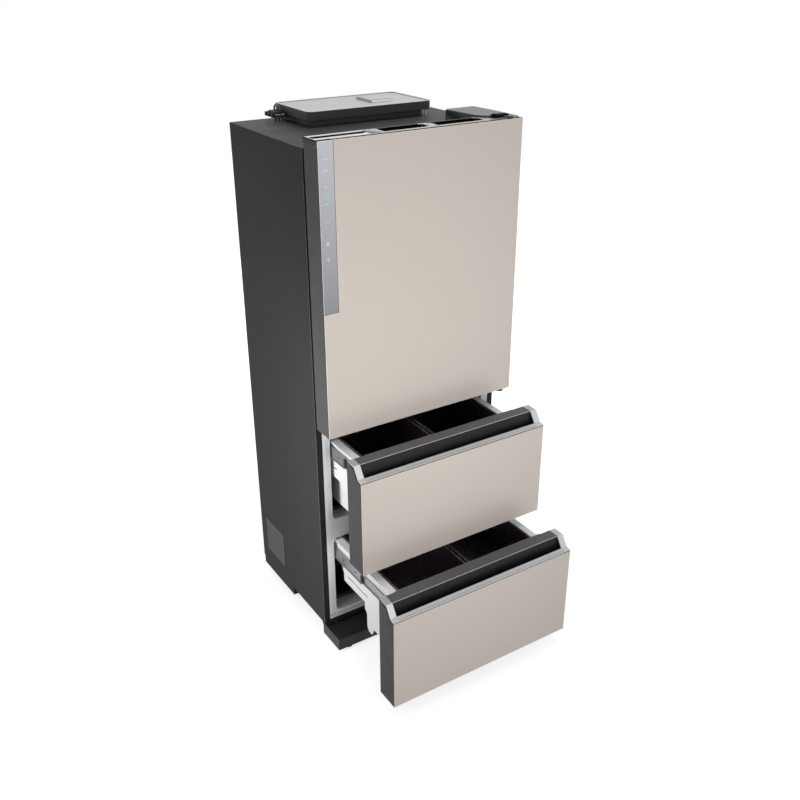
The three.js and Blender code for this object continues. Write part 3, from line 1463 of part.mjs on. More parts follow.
// Serpentine tube in two upright layers, joined at one end and held by two end plates.
function condenser() {
  const { inset, right, rows, pitch, lift, spacing, tube } = CONDENSER;
  const { margin, lap } = CONDENSER_PLATE;
  const left = inset - HALF;
  const layers = [FAN_AXIS.y - 0.8 * spacing, FAN_AXIS.y + 0.2 * spacing];
  const route = [];
  let atLeft = true;
  layers.forEach((y, layer) => {
    for (let i = 0; i < rows; i += 1) {
      const row = layer % 2 ? rows - 1 - i : i;
      const z = MACHINE_FLOOR + lift + pitch * row;
      const ends = atLeft ? [left, right] : [right, left];
      route.push([ends[0], y, z], [ends[1], y, z]);
      atLeft = !atLeft;
    }
  });
  const coil = pipe(route, tube, pitch / 2 - 0.2);
  const plateTop = MACHINE_FLOOR + lift + pitch * rows - lap / 2;
  const plates = [left + margin, right - margin].map((x) =>
    box(x - 1, x + 1, layers[0] - lap, layers[1] + lap, MACHINE_FLOOR + FIT, plateTop),
  );
  return join(coil, ...plates);
}

const COMPRESSOR = { inset: 130, radius: 74, height: 150, legs: 16, foot: 92, mount: 76, mountRadius: 11 };
const TERMINAL = { half: 24, reach: 22, bottom: 50, top: 104 };
const STUB = { radius: 4, offset: 20, reach: 22, level: 96, top: 140 };

// Hermetic compressor: domed shell on a foot plate with four rubber mounts, terminal cover, stubs.
function compressor() {
  const { inset, radius, height, legs, foot, mount, mountRadius } = COMPRESSOR;
  const x = HALF - inset;
  const y = FAN_AXIS.y - 2;
  const floor = MACHINE_FLOOR + FIT;
  const low = legs + 2;
  const seam = low + height * 0.5;
  const profile = [
    [0, low],
    [radius * 0.62, low + height * 0.013],
    [radius * 0.9, low + height * 0.093],
    [radius, low + height * 0.227],
    [radius, seam],
    [radius * 1.04, seam],
    [radius * 1.04, seam + height * 0.027],
    [radius * 0.985, seam + height * 0.027],
    [radius * 0.95, low + height * 0.72],
    [radius * 0.7, low + height * 0.89],
    [radius * 0.3, height - 1],
    [0, height],
  ];
  const shell = new THREE.LatheGeometry(
    profile.map(([r, h]) => new THREE.Vector2(r, h)),
    22,
  );
  const body = solid(shell.rotateX(Math.PI / 2).translate(x, y, floor));
  const plate = alongZ(
    rounded(rect(x - foot, x + foot, y - 0.65 * foot, y + 0.65 * foot), foot / 5),
    floor + legs - 3,
    floor + legs + 4,
  );
  const mounts = [-1, 1].flatMap((dx) =>
    [-1, 1].map((dy) =>
      alongZ(circle(x + dx * mount, y + dy * 0.58 * mount, mountRadius, 12), floor, floor + legs),
    ),
  );
  const terminal = box(
    x - TERMINAL.half,
    x + TERMINAL.half,
    y - radius - TERMINAL.reach,
    y - 0.84 * radius,
    floor + TERMINAL.bottom,
    floor + TERMINAL.top,
  );
  const stubX = x - radius - STUB.reach;
  const stub = pipe(
    [
      [x - 0.9 * radius, y + STUB.offset, floor + STUB.level],
      [stubX, y + STUB.offset, floor + STUB.level],
      [stubX, y + STUB.offset, floor + STUB.top],
    ],
    STUB.radius,
    2.5 * STUB.radius,
  );
  return join(body, plate, ...mounts, terminal, stub);
}

const GRILLE = { length: 70, height: 6, pitch: 13, rows: 8, lift: 38, margin: 75, spacing: 85, columns: 3 };

// Removable rear cover of the machine room, with air slots on both sides.
function machineRoomCover() {
  const y0 = REAR_FACE - STEEL;
  const top = MACHINE_CEILING - STEEL - FIT;
  const plate = box(-CASE_HALF, CASE_HALF, y0, REAR_FACE, MACHINE_FLOOR - BASE_STEEL, top);
  const slots = [];
  for (const side of [-1, 1]) {
    for (let column = 0; column < GRILLE.columns; column += 1) {
      const far = HALF - GRILLE.margin - column * GRILLE.spacing + GRILLE.length / 2;
      for (let row = 0; row < GRILLE.rows; row += 1) {
        const z = MACHINE_FLOOR + GRILLE.lift + row * GRILLE.pitch;
        slots.push(sideBox(side, far - GRILLE.length, far, y0 - 1, REAR_FACE + 1, z, z + GRILLE.height));
      }
    }
  }
  return cut(plate, ...slots);
}

// ---------------------------------------------------------------- assembly

const cabinet = new THREE.Group();
place(cabinet, "left_side_panel", sidePanel(-1), "charcoalSteel");
place(cabinet, "right_side_panel", sidePanel(1), "charcoalSteel");
place(cabinet, "top_panel", topPanel(), "charcoalSteel");
place(cabinet, "rear_panel", rearPanel(), "galvanisedSteel");
place(cabinet, "base_frame", baseFrame(), "galvanisedSteel");
place(cabinet, "insulation_foam", insulationFoam(), "foam");
place(cabinet, "inner_liner", innerLiner(), "faceLiner");
place(cabinet, "base_cover", baseCover(), "blackPlastic");
place(cabinet, "machine_room_cover", machineRoomCover(), "galvanisedSteel");
place(cabinet, "compressor", compressor(), "compressorBlack");
place(cabinet, "condenser", condenser(), "copperTube");
place(cabinet, "condenser_fan_shroud", condenserFanShroud(), "blackPlastic");
place(cabinet, "evaporator", evaporator(), "aluminiumFin");
place(cabinet, "duct_fan_motor", ductFanMotor(), "blackPlastic");
place(cabinet, "air_duct_cover", airDuctCover(), "whitePlastic");
place(cabinet, "top_hinge_bracket", topHingeBracket(), "hingeSteel");
place(cabinet, "hinge_cover", hingeCover(), "greyCover");
place(cabinet, "lower_hinge_bracket", lowerHingeBracket(), "hingeSteel");
place(cabinet, "control_box_base", controlTier(), "blackPlastic");
place(cabinet, "control_box_lid", controlLid(), "blackPlastic");
place(cabinet, "interior_lamp_cover", lampBox(FIT, DUCT_FRONT), "lampCover");
SHELF_LEVELS.forEach((level, i) => {
  place(cabinet, ["lower_shelf", "upper_shelf"][i], shelf(level), "shelfGlass");
});
for (const side of [-1, 1]) {
  const word = side < 0 ? "left" : "right";
  const foot = levellingFoot(side);
  place(cabinet, `${word}_levelling_foot`, foot.body, "footRubber").position.set(foot.x, foot.y, 0);
  place(cabinet, `${word}_rear_roller`, roller(side), "blackPlastic");
}

const ductRotor = place(cabinet, "duct_fan_rotor", fanRotor(DUCT_FAN), "whitePlastic");
ductRotor.rotation.x = Math.PI / 2;
ductRotor.position.set(0, DUCT_FAN_CENTRE, DUCT_FAN_HEIGHT);

const condenserRotor = place(cabinet, "condenser_fan_rotor", fanRotor(CONDENSER_FAN), "blackPlastic");
condenserRotor.rotation.y = Math.PI / 2;
condenserRotor.position.set(SHROUD.x + 4, FAN_AXIS.y, FAN_AXIS.z);

function drawer(word, front, tub, size, slideHeight, pull) {
  const moving = new THREE.Group();
  moving.position.y = -pull;
  place(moving, `${word}_drawer_casing`, drawerCasing(front), "greyCasing");
  place(moving, `${word}_drawer_face`, drawerFacePanel(front), "greigePanel");
  place(moving, `${word}_handle_trim`, handleTrim(front), "silverTrim");
  place(moving, `${word}_drawer_gasket`, gasket(tub), "gasketRubber");
  place(moving, `${word}_drawer_box`, drawerBox(size, slideHeight), "whitePlastic");
  const halfway = new THREE.Group();
  halfway.position.y = -pull * SLIDE_TRAVEL_RATIO;
  for (const side of [-1, 1]) {
    const hand = side < 0 ? "left" : "right";
    const sections = slideSections(side, slideHeight);
    place(moving, `${word}_${hand}_bin`, drawerBin(size, side), "darkBin");
    place(moving, `${word}_${hand}_slide_drawer_member`, alongY(sections.drawer, ...slideSpan), "slideSteel");
    place(halfway, `${word}_${hand}_slide_middle_member`, alongY(sections.middle, ...slideSpan), "slideSteel");
  }
  return [moving, halfway];
}

const door = new THREE.Group();
place(door, "door_casing", doorCasing(), "greyCasing");
place(door, "door_face", doorFacePanel(), "greigePanel");
place(door, "door_control_strip", controlStrip(), "controlStrip");
place(door, "door_top_cap", doorTopCap(), "silverTrim");
place(door, "door_liner", doorLiner(), "whitePlastic");
place(door, "door_gasket", gasket(upperTub), "gasketRubber");
DOOR_BIN_LEVELS.forEach((level, i) => {
  place(door, `door_bin_${i + 1}`, doorBin(level), "whitePlastic");
});

// The origin is the middle of the whole object's footprint, on the floor, in the pose as shown.
const kimchiRefrigerator = new THREE.Group();
kimchiRefrigerator.add(cabinet, door);
kimchiRefrigerator.add(...drawer("middle", middleFront, middleTub, middleBox, MIDDLE_SLIDE_HEIGHT, MIDDLE_PULL));
kimchiRefrigerator.add(...drawer("lower", lowerFront, lowerTub, lowerBox, LOWER_SLIDE_HEIGHT, LOWER_PULL));
const frontmost = FRONT_FACE - Math.max(MIDDLE_PULL, LOWER_PULL);
for (const group of kimchiRefrigerator.children) {
  group.position.y -= (frontmost + CABINET_DEPTH) / 2;
}

export default kimchiRefrigerator;
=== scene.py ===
"""Looks of an upright kimchi refrigerator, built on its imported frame.

Metres, +X to the right seen from the front, +Y to the back, +Z up. Every piece is made in place, in
the frame's own coordinates, and rides on the body that carries it.
"""

import json
import math

import bmesh
import bpy
import numpy as np
from mathutils import Matrix, Vector


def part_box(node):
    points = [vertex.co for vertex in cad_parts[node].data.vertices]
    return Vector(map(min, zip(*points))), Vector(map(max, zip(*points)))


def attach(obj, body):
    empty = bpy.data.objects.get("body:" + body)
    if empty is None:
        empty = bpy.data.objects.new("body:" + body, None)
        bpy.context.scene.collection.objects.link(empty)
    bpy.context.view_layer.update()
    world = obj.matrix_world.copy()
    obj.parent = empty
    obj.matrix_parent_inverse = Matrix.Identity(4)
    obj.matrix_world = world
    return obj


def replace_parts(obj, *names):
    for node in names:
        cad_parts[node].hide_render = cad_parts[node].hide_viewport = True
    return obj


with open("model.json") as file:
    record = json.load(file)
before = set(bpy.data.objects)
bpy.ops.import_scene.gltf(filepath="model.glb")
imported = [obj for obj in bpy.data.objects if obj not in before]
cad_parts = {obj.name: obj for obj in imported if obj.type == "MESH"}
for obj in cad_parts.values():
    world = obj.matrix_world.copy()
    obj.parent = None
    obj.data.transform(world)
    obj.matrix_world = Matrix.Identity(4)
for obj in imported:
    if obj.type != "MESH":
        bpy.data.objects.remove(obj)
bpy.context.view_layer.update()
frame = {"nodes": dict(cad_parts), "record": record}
NODES = frame["nodes"]
MM = 0.001

BODY_OF = {node: body for body, nodes in frame["record"]["behaviour"]["bodies"].items() for node in nodes}
SLOT_OF = {part["node"]: part["material_slot"] for part in frame["record"]["subparts"]}

CASE_LOW, CASE_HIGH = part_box("left_side_panel")[0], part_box("right_side_panel")[1]
HALF = CASE_HIGH.x  # half the cabinet's width
FRONT = CASE_LOW.y  # the cabinet's front face
BACK = CASE_HIGH.y
CASE_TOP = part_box("top_panel")[1].z
DRAWERS = ("middle", "lower")
SIDES = (-1, 1)  # left and right
PROUD = 0.15 * MM  # how far drawn joints and linings stand out of the face they lie in


# ---- materials


def srgb(code):
    """Linear colour of a six-digit sRGB code."""
    parts = [int(code[i : i + 2], 16) / 255 for i in (0, 2, 4)]
    return [p / 12.92 if p <= 0.04045 else ((p + 0.055) / 1.055) ** 2.4 for p in parts]


def tint(color, factor):
    """The colour made lighter or darker by a factor."""
    return [min(1.0, c * factor) for c in color]


NOISE_SPAN = (0.3, 0.7)  # most of a noise's values lie between these


class NodeTree:
    """The nodes of a material or of the world."""

    def __init__(self, owner):
        owner.use_nodes = True
        self.nodes, self.links = owner.node_tree.nodes, owner.node_tree.links

    def node(self, kind, values=(), **properties):
        """A new node, with each of the values linked or written into its socket."""
        made = self.nodes.new(kind)
        for key, value in properties.items():
            setattr(made, key, value)
        for socket, value in dict(values).items():
            if isinstance(value, bpy.types.NodeSocket):
                self.links.new(value, made.inputs[socket])
            else:
                made.inputs[socket].default_value = value
        return made

    def along(self, axis, place):
        """A place's coordinate along X, Y or Z."""
        return self.node("ShaderNodeSeparateXYZ", {"Vector": place}).outputs[axis]

    def ramp(self, value, low, high, out_low=0.0, out_high=1.0):
        """The value carried evenly from one range to another, and held at its ends."""
        values = {"Value": value, "From Min": low, "From Max": high, "To Min": out_low, "To Max": out_high}
        return self.node("ShaderNodeMapRange", values).outputs["Result"]

    def seen_directly(self):
        """1 for what the camera sees, also in metal and through glass."""
        path = self.node("ShaderNodeLightPath").outputs
        total = path["Is Camera Ray"]
        for ray in ("Is Glossy Ray", "Is Transmission Ray"):
            more = self.node("ShaderNodeMath", {0: total, 1: path[ray]}, operation="MAXIMUM")
            total = more.outputs["Value"]
        return total


class Finish(NodeTree):
    """A Principled material, with textures in the piece's own coordinates."""

    def __init__(self, name, color, roughness, metallic=0.0, **sockets):
        self.material = bpy.data.materials.new(name)
        super().__init__(self.material)
        self.shader = self.nodes["Principled BSDF"]
        self.color = color
        values = {"Base_Color": (*color, 1), "Roughness": roughness, "Metallic": metallic, **sockets}
        for socket, value in values.items():
            self.shader.inputs[socket.replace("_", " ")].default_value = value
        self.place = self.node("ShaderNodeTexCoord").outputs["Object"]
        self.normal = None

    def feed(self, socket, value):
        """The value linked to a socket of the shader."""
        self.links.new(value, self.shader.inputs[socket])
        return self

    def noise(self, scale, detail=3.0, stretch=None):
        """Noise over the place, which is first multiplied by the stretch."""
        place = self.place
        if stretch:
            place = self.node("ShaderNodeMapping", {"Vector": place, "Scale": stretch}).outputs["Vector"]
        values = {"Vector": place, "Scale": scale, "Detail": detail, "Roughness": 0.55}
        return self.node("ShaderNodeTexNoise", values).outputs["Fac"]

    def cells(self, scale, feature="F1"):
        """Voronoi cells over the place."""
        return self.node("ShaderNodeTexVoronoi", {"Vector": self.place, "Scale": scale}, feature=feature)

    def colored(self, share, first, second):
        """Base colour between two colours, by a share."""
        made = self.node("ShaderNodeMix", {"Factor": share}, data_type="RGBA")
        for socket, color in zip([s for s in made.inputs if s.type == "RGBA"], (first, second)):
            socket.default_value = (*color, 1)
        return self.feed("Base Color", [s for s in made.outputs if s.type == "RGBA"][0])

    def mottled(self, scale, drift, detail=3.0, stretch=None):
        """Base colour that wanders by a share of itself."""
        share = self.ramp(self.noise(scale, detail, stretch), *NOISE_SPAN)
        return self.colored(share, tint(self.color, 1 - drift), tint(self.color, 1 + drift))

    def rough(self, low, high, scale, detail=4.0, stretch=None):
        """Roughness that wanders between two values."""
        return self.feed("Roughness", self.ramp(self.noise(scale, detail, stretch), *NOISE_SPAN, low, high))

    def bump(self, height, depth, strength=1.0):
        """Relief of a depth in metres, from a height between 0 and 1."""
        values = {"Height": height, "Distance": depth, "Strength": strength}
        if self.normal:
            values["Normal"] = self.normal
        self.normal = self.node("ShaderNodeBump", values).outputs["Normal"]
        return self.feed("Normal", self.normal)

    def grained(self, scale, depth, strength=0.6):
        """Fine relief from noise."""
        return self.bump(self.noise(scale, 2.0), depth, strength)


def textured(name, code, roughness, mottle, rough, grain=None, metallic=0.0, sheen=0.5, coat=(0, 0.03)):
    """A finish whose colour and roughness wander over a fine grain. mottle is a scale and a share of
    the colour, rough is two roughnesses and a scale, grain is a scale, a depth and a strength, sheen is
    the specular level, and coat is a clear coat's weight and roughness."""
    levels = {"Specular_IOR_Level": sheen, "Coat_Weight": coat[0], "Coat_Roughness": coat[1]}
    f = Finish(name, srgb(code), roughness, metallic, **levels).mottled(*mottle).rough(*rough)
    if grain:
        f.grained(*grain)
    return f.material


def galvanised_steel():
    """Zinc-coated sheet: each spangle has its own grey and its own roughness."""
    f = Finish("galvanised_steel", srgb("a3a6a8"), 0.38, 0.9)
    spangle = f.cells(170).outputs["Color"]
    share = f.node("ShaderNodeSeparateColor", {"Color": spangle}).outputs["Red"]
    f.colored(share, srgb("9b9ea0"), srgb("adb0b1"))
    return f.feed("Roughness", f.ramp(share, 0, 1, 0.38, 0.46)).grained(60, 3e-5, 0.4).material


# The moulded plastics: charcoal with a spark-eroded grain, black, and silver paint with a fine flake.
CASING = (0.46, (4.0, 0.04), (0.4, 0.5, 24), (1500, 5e-5, 0.35), 0, 0.12)
BLACK = (0.46, (8.0, 0.08), (0.42, 0.54, 40), (1300, 6e-5, 0.5))
SILVER = (0.36, (700, 0.05, 1.0), (0.32, 0.4, 40), (1700, 2e-5, 0.2), 0.3)


def face_glass():
    """Satin glass painted greige on its back: metallic flake under a soft sheen."""
    f = Finish("face_glass", srgb("c9c0b7"), 0.34, 0.12, Coat_Weight=0.25, Coat_Roughness=0.3)
    flake = f.ramp(f.noise(5200, 1.0), 0.35, 0.65)
    f.colored(flake, tint(f.color, 0.985), tint(f.color, 1.015))
    return f.rough(0.32, 0.37, 9).grained(2600, 2e-5, 0.15).material


def strip_glass():
    """Smoked control strip that darkens evenly towards its lower end."""
    low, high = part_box("door_control_strip")
    f = Finish("strip_glass", srgb("a5a6aa"), 0.22, 0.2, Coat_Weight=0.5, Coat_Roughness=0.12)
    f.colored(f.ramp(f.along("Z", f.place), low.z, high.z), srgb("808287"), srgb("c2c3c8"))
    return f.rough(0.18, 0.26, 20).grained(2400, 2e-5, 0.2).material


def tub_painted_shade():
    """Moulded wall of a drawer tub with painted shade: grey at the mouth, darkening to near black 60 mm
    further in.
    """
    f = Finish("tub_painted_shade", srgb("8e8f90"), 0.5)
    f.colored(f.ramp(f.along("Y", f.place), FRONT, FRONT + 60 * MM), srgb("9b9c9d"), srgb("141415"))
    return f.rough(0.45, 0.6, 30).grained(700, 3e-5, 0.3).material


def insulating_foam():
    """Pale yellow foam with fine pits."""
    f = Finish("insulating_foam", srgb("e5d9a6"), 0.95)
    pits = f.cells(420, "SMOOTH_F1").outputs["Distance"]
    return f.mottled(14, 0.08).bump(pits, 5e-4, 0.8).material


def shelf_glass():
    """Clear tempered glass, faintly green."""
    f = Finish("shelf_glass", srgb("e2eeec"), 0.04, Transmission_Weight=0.92, IOR=1.5)
    return f.rough(0.03, 0.07, 20).grained(300, 1e-5, 0.2).material


def lamp_plastic():
    """Ribbed milky cover of the inner lamp."""
    f = Finish("lamp_plastic", srgb("f4f3ea"), 0.35, Transmission_Weight=0.25, IOR=1.45)
    ribs = f.node("ShaderNodeTexWave", {"Vector": f.place, "Scale": 60.0}, bands_direction="X")
    return f.mottled(30, 0.01).bump(ribs.outputs["Fac"], 4e-4, 0.6).material


def lit_mark(name, code, glow):
    """Lit symbol printed behind the control strip."""
    lit = {"Emission_Color": (*srgb(code), 1), "Emission_Strength": glow}
    return Finish(name, srgb(code), 0.4, **lit).mottled(900, 0.03).material


# The record's slots. The charcoal paint has a faint orange peel, and rolled slides are streaked along
# their run.
FINISH = {
    "case_steel": textured(
        "charcoal_paint", "2f2f30", 0.5, (2.0, 0.012), (0.5, 0.53, 14), (420, 5e-5, 0.5), sheen=0.06
    ),
    "galvanised_steel": galvanised_steel(),
    "slide_steel": textured(
        "slide_steel", "98989a", 0.34, (90, 0.03, 3.0, (6, 0.25, 6)), (0.3, 0.36, 160, 4.0, (6, 0.2, 6)),
        metallic=0.7
    ),
    "hinge_steel": textured("hinge_steel", "2c2c2e", 0.42, (20, 0.1), (0.36, 0.5, 60), (900, 4e-5), 0.2),
    "insulation_foam": insulating_foam(),
    "liner_plastic": textured(
        "frame_plastic", "e8e9ea", 0.38, (5.0, 0.025), (0.34, 0.44, 30), (700, 4e-5, 0.3)
    ),
    "white_plastic": textured(
        "white_plastic", "e6e6e8", 0.36, (6.0, 0.012), (0.3, 0.4, 35), (900, 3e-5, 0.3), coat=(0.1, 0.2)
    ),
    "dark_plastic": textured(
        "bin_plastic", "2f272a", 0.26, (8.0, 0.08), (0.2, 0.32, 40), (700, 3e-5, 0.3), coat=(0.2, 0.15)
    ),
    "black_plastic": textured("black_plastic", "262628", *BLACK),
    "grey_plastic": textured("casing_plastic", "444445", *CASING),
    "silver_trim": textured("silver_trim", "bbbbbd", *SILVER),
    "control_strip": strip_glass(),
    "face_panel": face_glass(),
    "shelf_glass": shelf_glass(),
    "gasket_rubber": textured("gasket_rubber", "5a5b5d", 0.7, (30, 0.06), (0.62, 0.78, 90), (1200, 6e-5)),
    "foot_rubber": textured("foot_rubber", "1e1e1f", 0.8, (40, 0.1), (0.7, 0.9, 120), (900, 1e-4)),
    "compressor_paint": textured(
        "compressor_paint", "161617", 0.3, (20, 0.1), (0.26, 0.4, 60), (260, 1.2e-4), coat=(0.4, 0.15)
    ),
    "condenser_tube": textured("coated_tube", "26221f", 0.4, (60, 0.15), (0.32, 0.5, 120), (500, 5e-5), 0.4),
    "evaporator_aluminium": textured(
        "fin_aluminium", "c9cccd", 0.32, (50, 0.05), (0.26, 0.42, 200, 4.0, (1, 1, 0.2)), metallic=0.9
    ),
    "lamp_plastic": lamp_plastic(),
}
# A lighter copy of the charcoal paint for the top panel: painted light on its upward face.
TOP_PAINTED_LIGHT = textured("top_painted_light", "454546", 0.5, (3.0, 0.05), (0.46, 0.56, 14), (420, 3e-5, 0.4), sheen=0.1)
# A darker copy of the charcoal paint for the front folds of the side and top panels: painted shade.
FLANGE_SHADE = textured("flange_painted_shade", "262627", 0.5, (5.0, 0.05), (0.46, 0.56, 20), (420, 3e-5, 0.4), sheen=0.1)
LABEL_PLATE = textured("label_plate", "424241", 0.45, (18, 0.03), (0.36, 0.46, 60), sheen=0.12)
LABEL_RIM = textured("label_rim", "6c6c6b", 0.4, (30, 0.03), (0.3, 0.4, 80), sheen=0.15)
# Near black for the drawers' handle recesses, the folds under the handle trims and the slide holes: painted
# shade.
RECESS_SHADE = textured("recess_painted_shade", "111112", 0.42, (6, 0.06), (0.34, 0.46, 30), (1600, 5e-5, 0.3), 0, 0.25)
SHADOW = textured("shadow_plastic", "212122", 0.5, (8, 0.06), (0.46, 0.56, 40), (1300, 4e-5, 0.4), 0, 0.3)
# Deep black: painted shade in the cap's pockets and in the linings over their openings and the gap above the
# face, and the colour of the black joints and the hinge lever.
BLACK_AND_SHADE = textured("black_and_painted_shade", "0b0b0c", 0.7, (8.0, 0.06), (0.64, 0.76, 40), sheen=0.03)
COVER = textured("cover_plastic", "7a7a7c", 0.46, (8, 0.04), (0.4, 0.5, 40), (1400, 5e-5, 0.4), 0, 0.3)
# A darker copy of the casing grey: painted shade on the drawer casings, the fronts' square sides and the
# cap's ends, and the colour of the strip's joint and the lip's groove.
CASING_SHADE_AND_JOINTS = textured("casing_shade_and_joints", "373738", *CASING)
# A lighter copy of the casing grey on the drawers' flat tops: painted light.
HANDLE_TOP_PAINTED_LIGHT = textured("handle_top_painted_light", "555556", *CASING)
# A lighter grey for the bright line down the side panels' front folds: painted highlight.
PANEL_EDGE_HIGHLIGHT = textured("panel_edge_highlight", "7a7a7b", *CASING)
CONTROL_BOX = textured("control_box_plastic", "424244", *BLACK)
# A brighter copy of the silver for the handle trims' chamfers: painted highlight.
CHAMFER = textured("chamfer_painted_highlight", "c9c9cb", *SILVER)
# A brighter copy of the silver for the rails of the door's cap: painted highlight.
RAIL = textured("rail_painted_highlight", "ececee", *SILVER)
END_CAP = textured("end_cap_silver", "a8a8aa", *SILVER)
INLAY = textured("plate_plastic", "cfcfd1", 0.4, (40, 0.04), (0.34, 0.46, 60), (500, 1e-4, 0.5), 0.1)
INLAY_RIM = textured("inlay_rim", "e2e2e4", 0.28, (30, 0.02), (0.24, 0.34, 60), metallic=0.2)
GLASS_EDGE = textured("glass_edge", "d9cfc2", 0.3, (60, 0.03), (0.24, 0.36, 80), (900, 3e-5, 0.3))
STRIP_EDGE = textured("strip_edge", "e4e4e6", 0.25, (60, 0.02), (0.2, 0.3, 80))
# A pale brown-grey for lines along the bins' rims: painted highlight.
BIN_EDGE_HIGHLIGHT = textured("bin_edge_highlight", "7d7472", 0.3, (30, 0.04), (0.25, 0.35, 60))
SCREW = textured("screw_steel", "b4b6b8", 0.28, (200, 0.08), (0.2, 0.36, 400), metallic=0.9)
MARK = lit_mark("mark_white", "e0e3e6", 0.04)
GLOW = lit_mark("mark_cyan", "74c2c6", 0.2)
HALO = lit_mark("mark_halo", "b2cfd2", 0.04)
TUB_SHADE = tub_painted_shade()


# ---- mesh tools
#
# A part is (points, faces): an array of points, and a list of index arrays, each of one face size.
# Bounds are (u0, u1, v0, v1) in the plane that is square to an axis.

SMOOTH_ANGLE = 35  # degrees between faces that are shaded as one
BEVEL_ANGLE = 28  # degrees between faces whose edge is rounded
FLAT_ANGLE = 0.4  # degrees between faces that become one


def in_scene(name, data):
    """A new object of the data in the scene."""
    made = bpy.data.objects.new(name, data)
    bpy.context.scene.collection.objects.link(made)
    return made


def rest_in_place(name, mesh, body, smooth_angle=SMOOTH_ANGLE):
    """An object of the mesh at the origin, riding on the body."""
    mesh.shade_smooth()
    mesh.set_sharp_from_angle(angle=math.radians(smooth_angle))
    made = in_scene(name, mesh)
    weighted = made.modifiers.new("flat_faces", "WEIGHTED_NORMAL")
    weighted.keep_sharp = True
    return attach(made, body)


def solid(name, body, slot, part, bevel=0.0, material=None, segments=2, smooth_angle=SMOOTH_ANGLE):
    """A closed mesh of the part, with its sharp edges rounded by the bevel in millimetres. Without a
    material of its own it has its slot's."""
    points, faces = part
    mesh = bpy.data.meshes.new(name)
    mesh.from_pydata(points.tolist(), [], [face for block in faces for face in block.tolist()])
    mesh.materials.append(material or FINISH[slot])
    shape = bmesh.new()
    shape.from_mesh(mesh)
    bmesh.ops.remove_doubles(shape, verts=shape.verts, dist=1e-6)
    bmesh.ops.recalc_face_normals(shape, faces=shape.faces)
    if bevel:
        round_edges(shape, bevel, segments)
    shape.to_mesh(mesh)
    shape.free()
    rest_in_place(name, mesh, body, smooth_angle)


def rounded(shape, edges, width, segments):
    """The edges rounded to a width in millimetres."""
    bmesh.ops.bevel(
        shape, geom=edges, offset=width * MM, segments=segments, profile=0.5, affect="EDGES",
        clamp_overlap=True
    )


def round_edges(shape, width, segments):
    """Rounds each edge whose faces turn by more than the bevel angle."""
    inner = [e for e in shape.edges if len(e.link_faces) == 2]
    rounded(shape, [e for e in inner if e.calc_face_angle() > math.radians(BEVEL_ANGLE)], width, segments)


def softened(node, width, material=None, segments=2, choose=None, extra=(), crown=0.0):
    """The frame's own shape with its edges rounded to a width in millimetres, standing for the plain
    node. choose gives each face's material number from its middle and its direction, and crown is a
    wider rounding of the edges round the node's top."""
    mesh = NODES[node].data.copy()
    mesh.materials.clear()
    for finish in (material or FINISH[SLOT_OF[node]], *extra):
        mesh.materials.append(finish)
    shape = bmesh.new()
    shape.from_mesh(mesh)
    bmesh.ops.remove_doubles(shape, verts=shape.verts, dist=2e-6)
    flat = math.radians(FLAT_ANGLE)
    bmesh.ops.dissolve_limit(shape, angle_limit=flat, verts=shape.verts, edges=shape.edges)
    if crown:
        top = max(v.co.z for v in shape.verts) - 0.1 * MM
        rounded(shape, [e for e in shape.edges if min(v.co.z for v in e.verts) > top], crown, 4)
    for face in shape.faces:
        face.material_index = choose(face.calc_center_median(), face.normal) if choose else 0
    round_edges(shape, width, segments)
    shape.to_mesh(mesh)
    shape.free()
    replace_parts(rest_in_place(node + "_shell", mesh, BODY_OF[node]), node)


AXES = {"x": (1, 2, 0), "y": (0, 2, 1), "z": (0, 1, 2)}


def plan(node, axis="z"):
    """The node's bounds in the axis's plane."""
    low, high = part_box(node)
    u, v, _ = AXES[axis]
    return low[u], high[u], low[v], high[v]


def drawn_in(bounds, depth):
    """The bounds with each side moved inwards by millimetres."""
    (u0, u1, v0, v1), depth = bounds, depth * MM
    return u0 + depth, u1 - depth, v0 + depth, v1 - depth


def around(u, v, half_width, half_height):
    """The bounds about a middle."""
    return u - half_width, u + half_width, v - half_height, v + half_height


def from_face(left, right, near, far):
    """Bounds on the z axis from millimetres across and behind the cabinet's face."""
    return left * MM, right * MM, FRONT + near * MM, FRONT + far * MM


def on_side(side, near, far):
    """Two distances from the middle, on the left or the right, in rising order."""
    return sorted((side * near, side * far))


def placed(flat, heights, axis):
    """Points in space from points in the axis's plane and their places along the axis."""
    u, v, w = AXES[axis]
    points = np.empty((len(flat), 3))
    points[:, u], points[:, v], points[:, w] = flat[:, 0], flat[:, 1], heights
    return points


def skin(rows, columns, closed=False):
    """Quads over a grid of points, row after row; columns run round, and rows too where closed."""
    index = np.arange(rows * columns).reshape(rows, columns)
    low = index if closed else index[:-1]
    high = np.roll(index, -1, 0) if closed else index[1:]
    return np.stack([low, np.roll(low, -1, 1), np.roll(high, -1, 1), high], axis=-1).reshape(-1, 4)


def prism(outline, low, high, axis="z"):
    """An outline pushed along an axis. Outlines are in (y, z), (x, z) or (x, y)."""
    outline = np.asarray(outline, float)
    count = len(outline)
    points = placed(np.vstack([outline, outline]), np.repeat([low, high], count), axis)
    ends = np.arange(2 * count).reshape(2, count)
    return points, [skin(2, count), ends[:1, ::-1], ends[1:]]


def ring(outer, inner, low, high, axis="z"):
    """The space between two outlines of as many points each, pushed along an axis."""
    count = len(outer)
    flat = np.vstack([outer, outer, inner, inner])
    return placed(flat, np.repeat([low, high, high, low], count), axis), [skin(4, count, closed=True)]


def arc(u, v, radius, start, sweep=90.0, steps=6):
    """Points on an arc about (u, v), from the start angle through the sweep, in degrees."""
    turn = np.radians(start + sweep * np.linspace(0, 1, steps + 1))
    return np.stack([u + radius * np.cos(turn), v + radius * np.sin(turn)], axis=1)


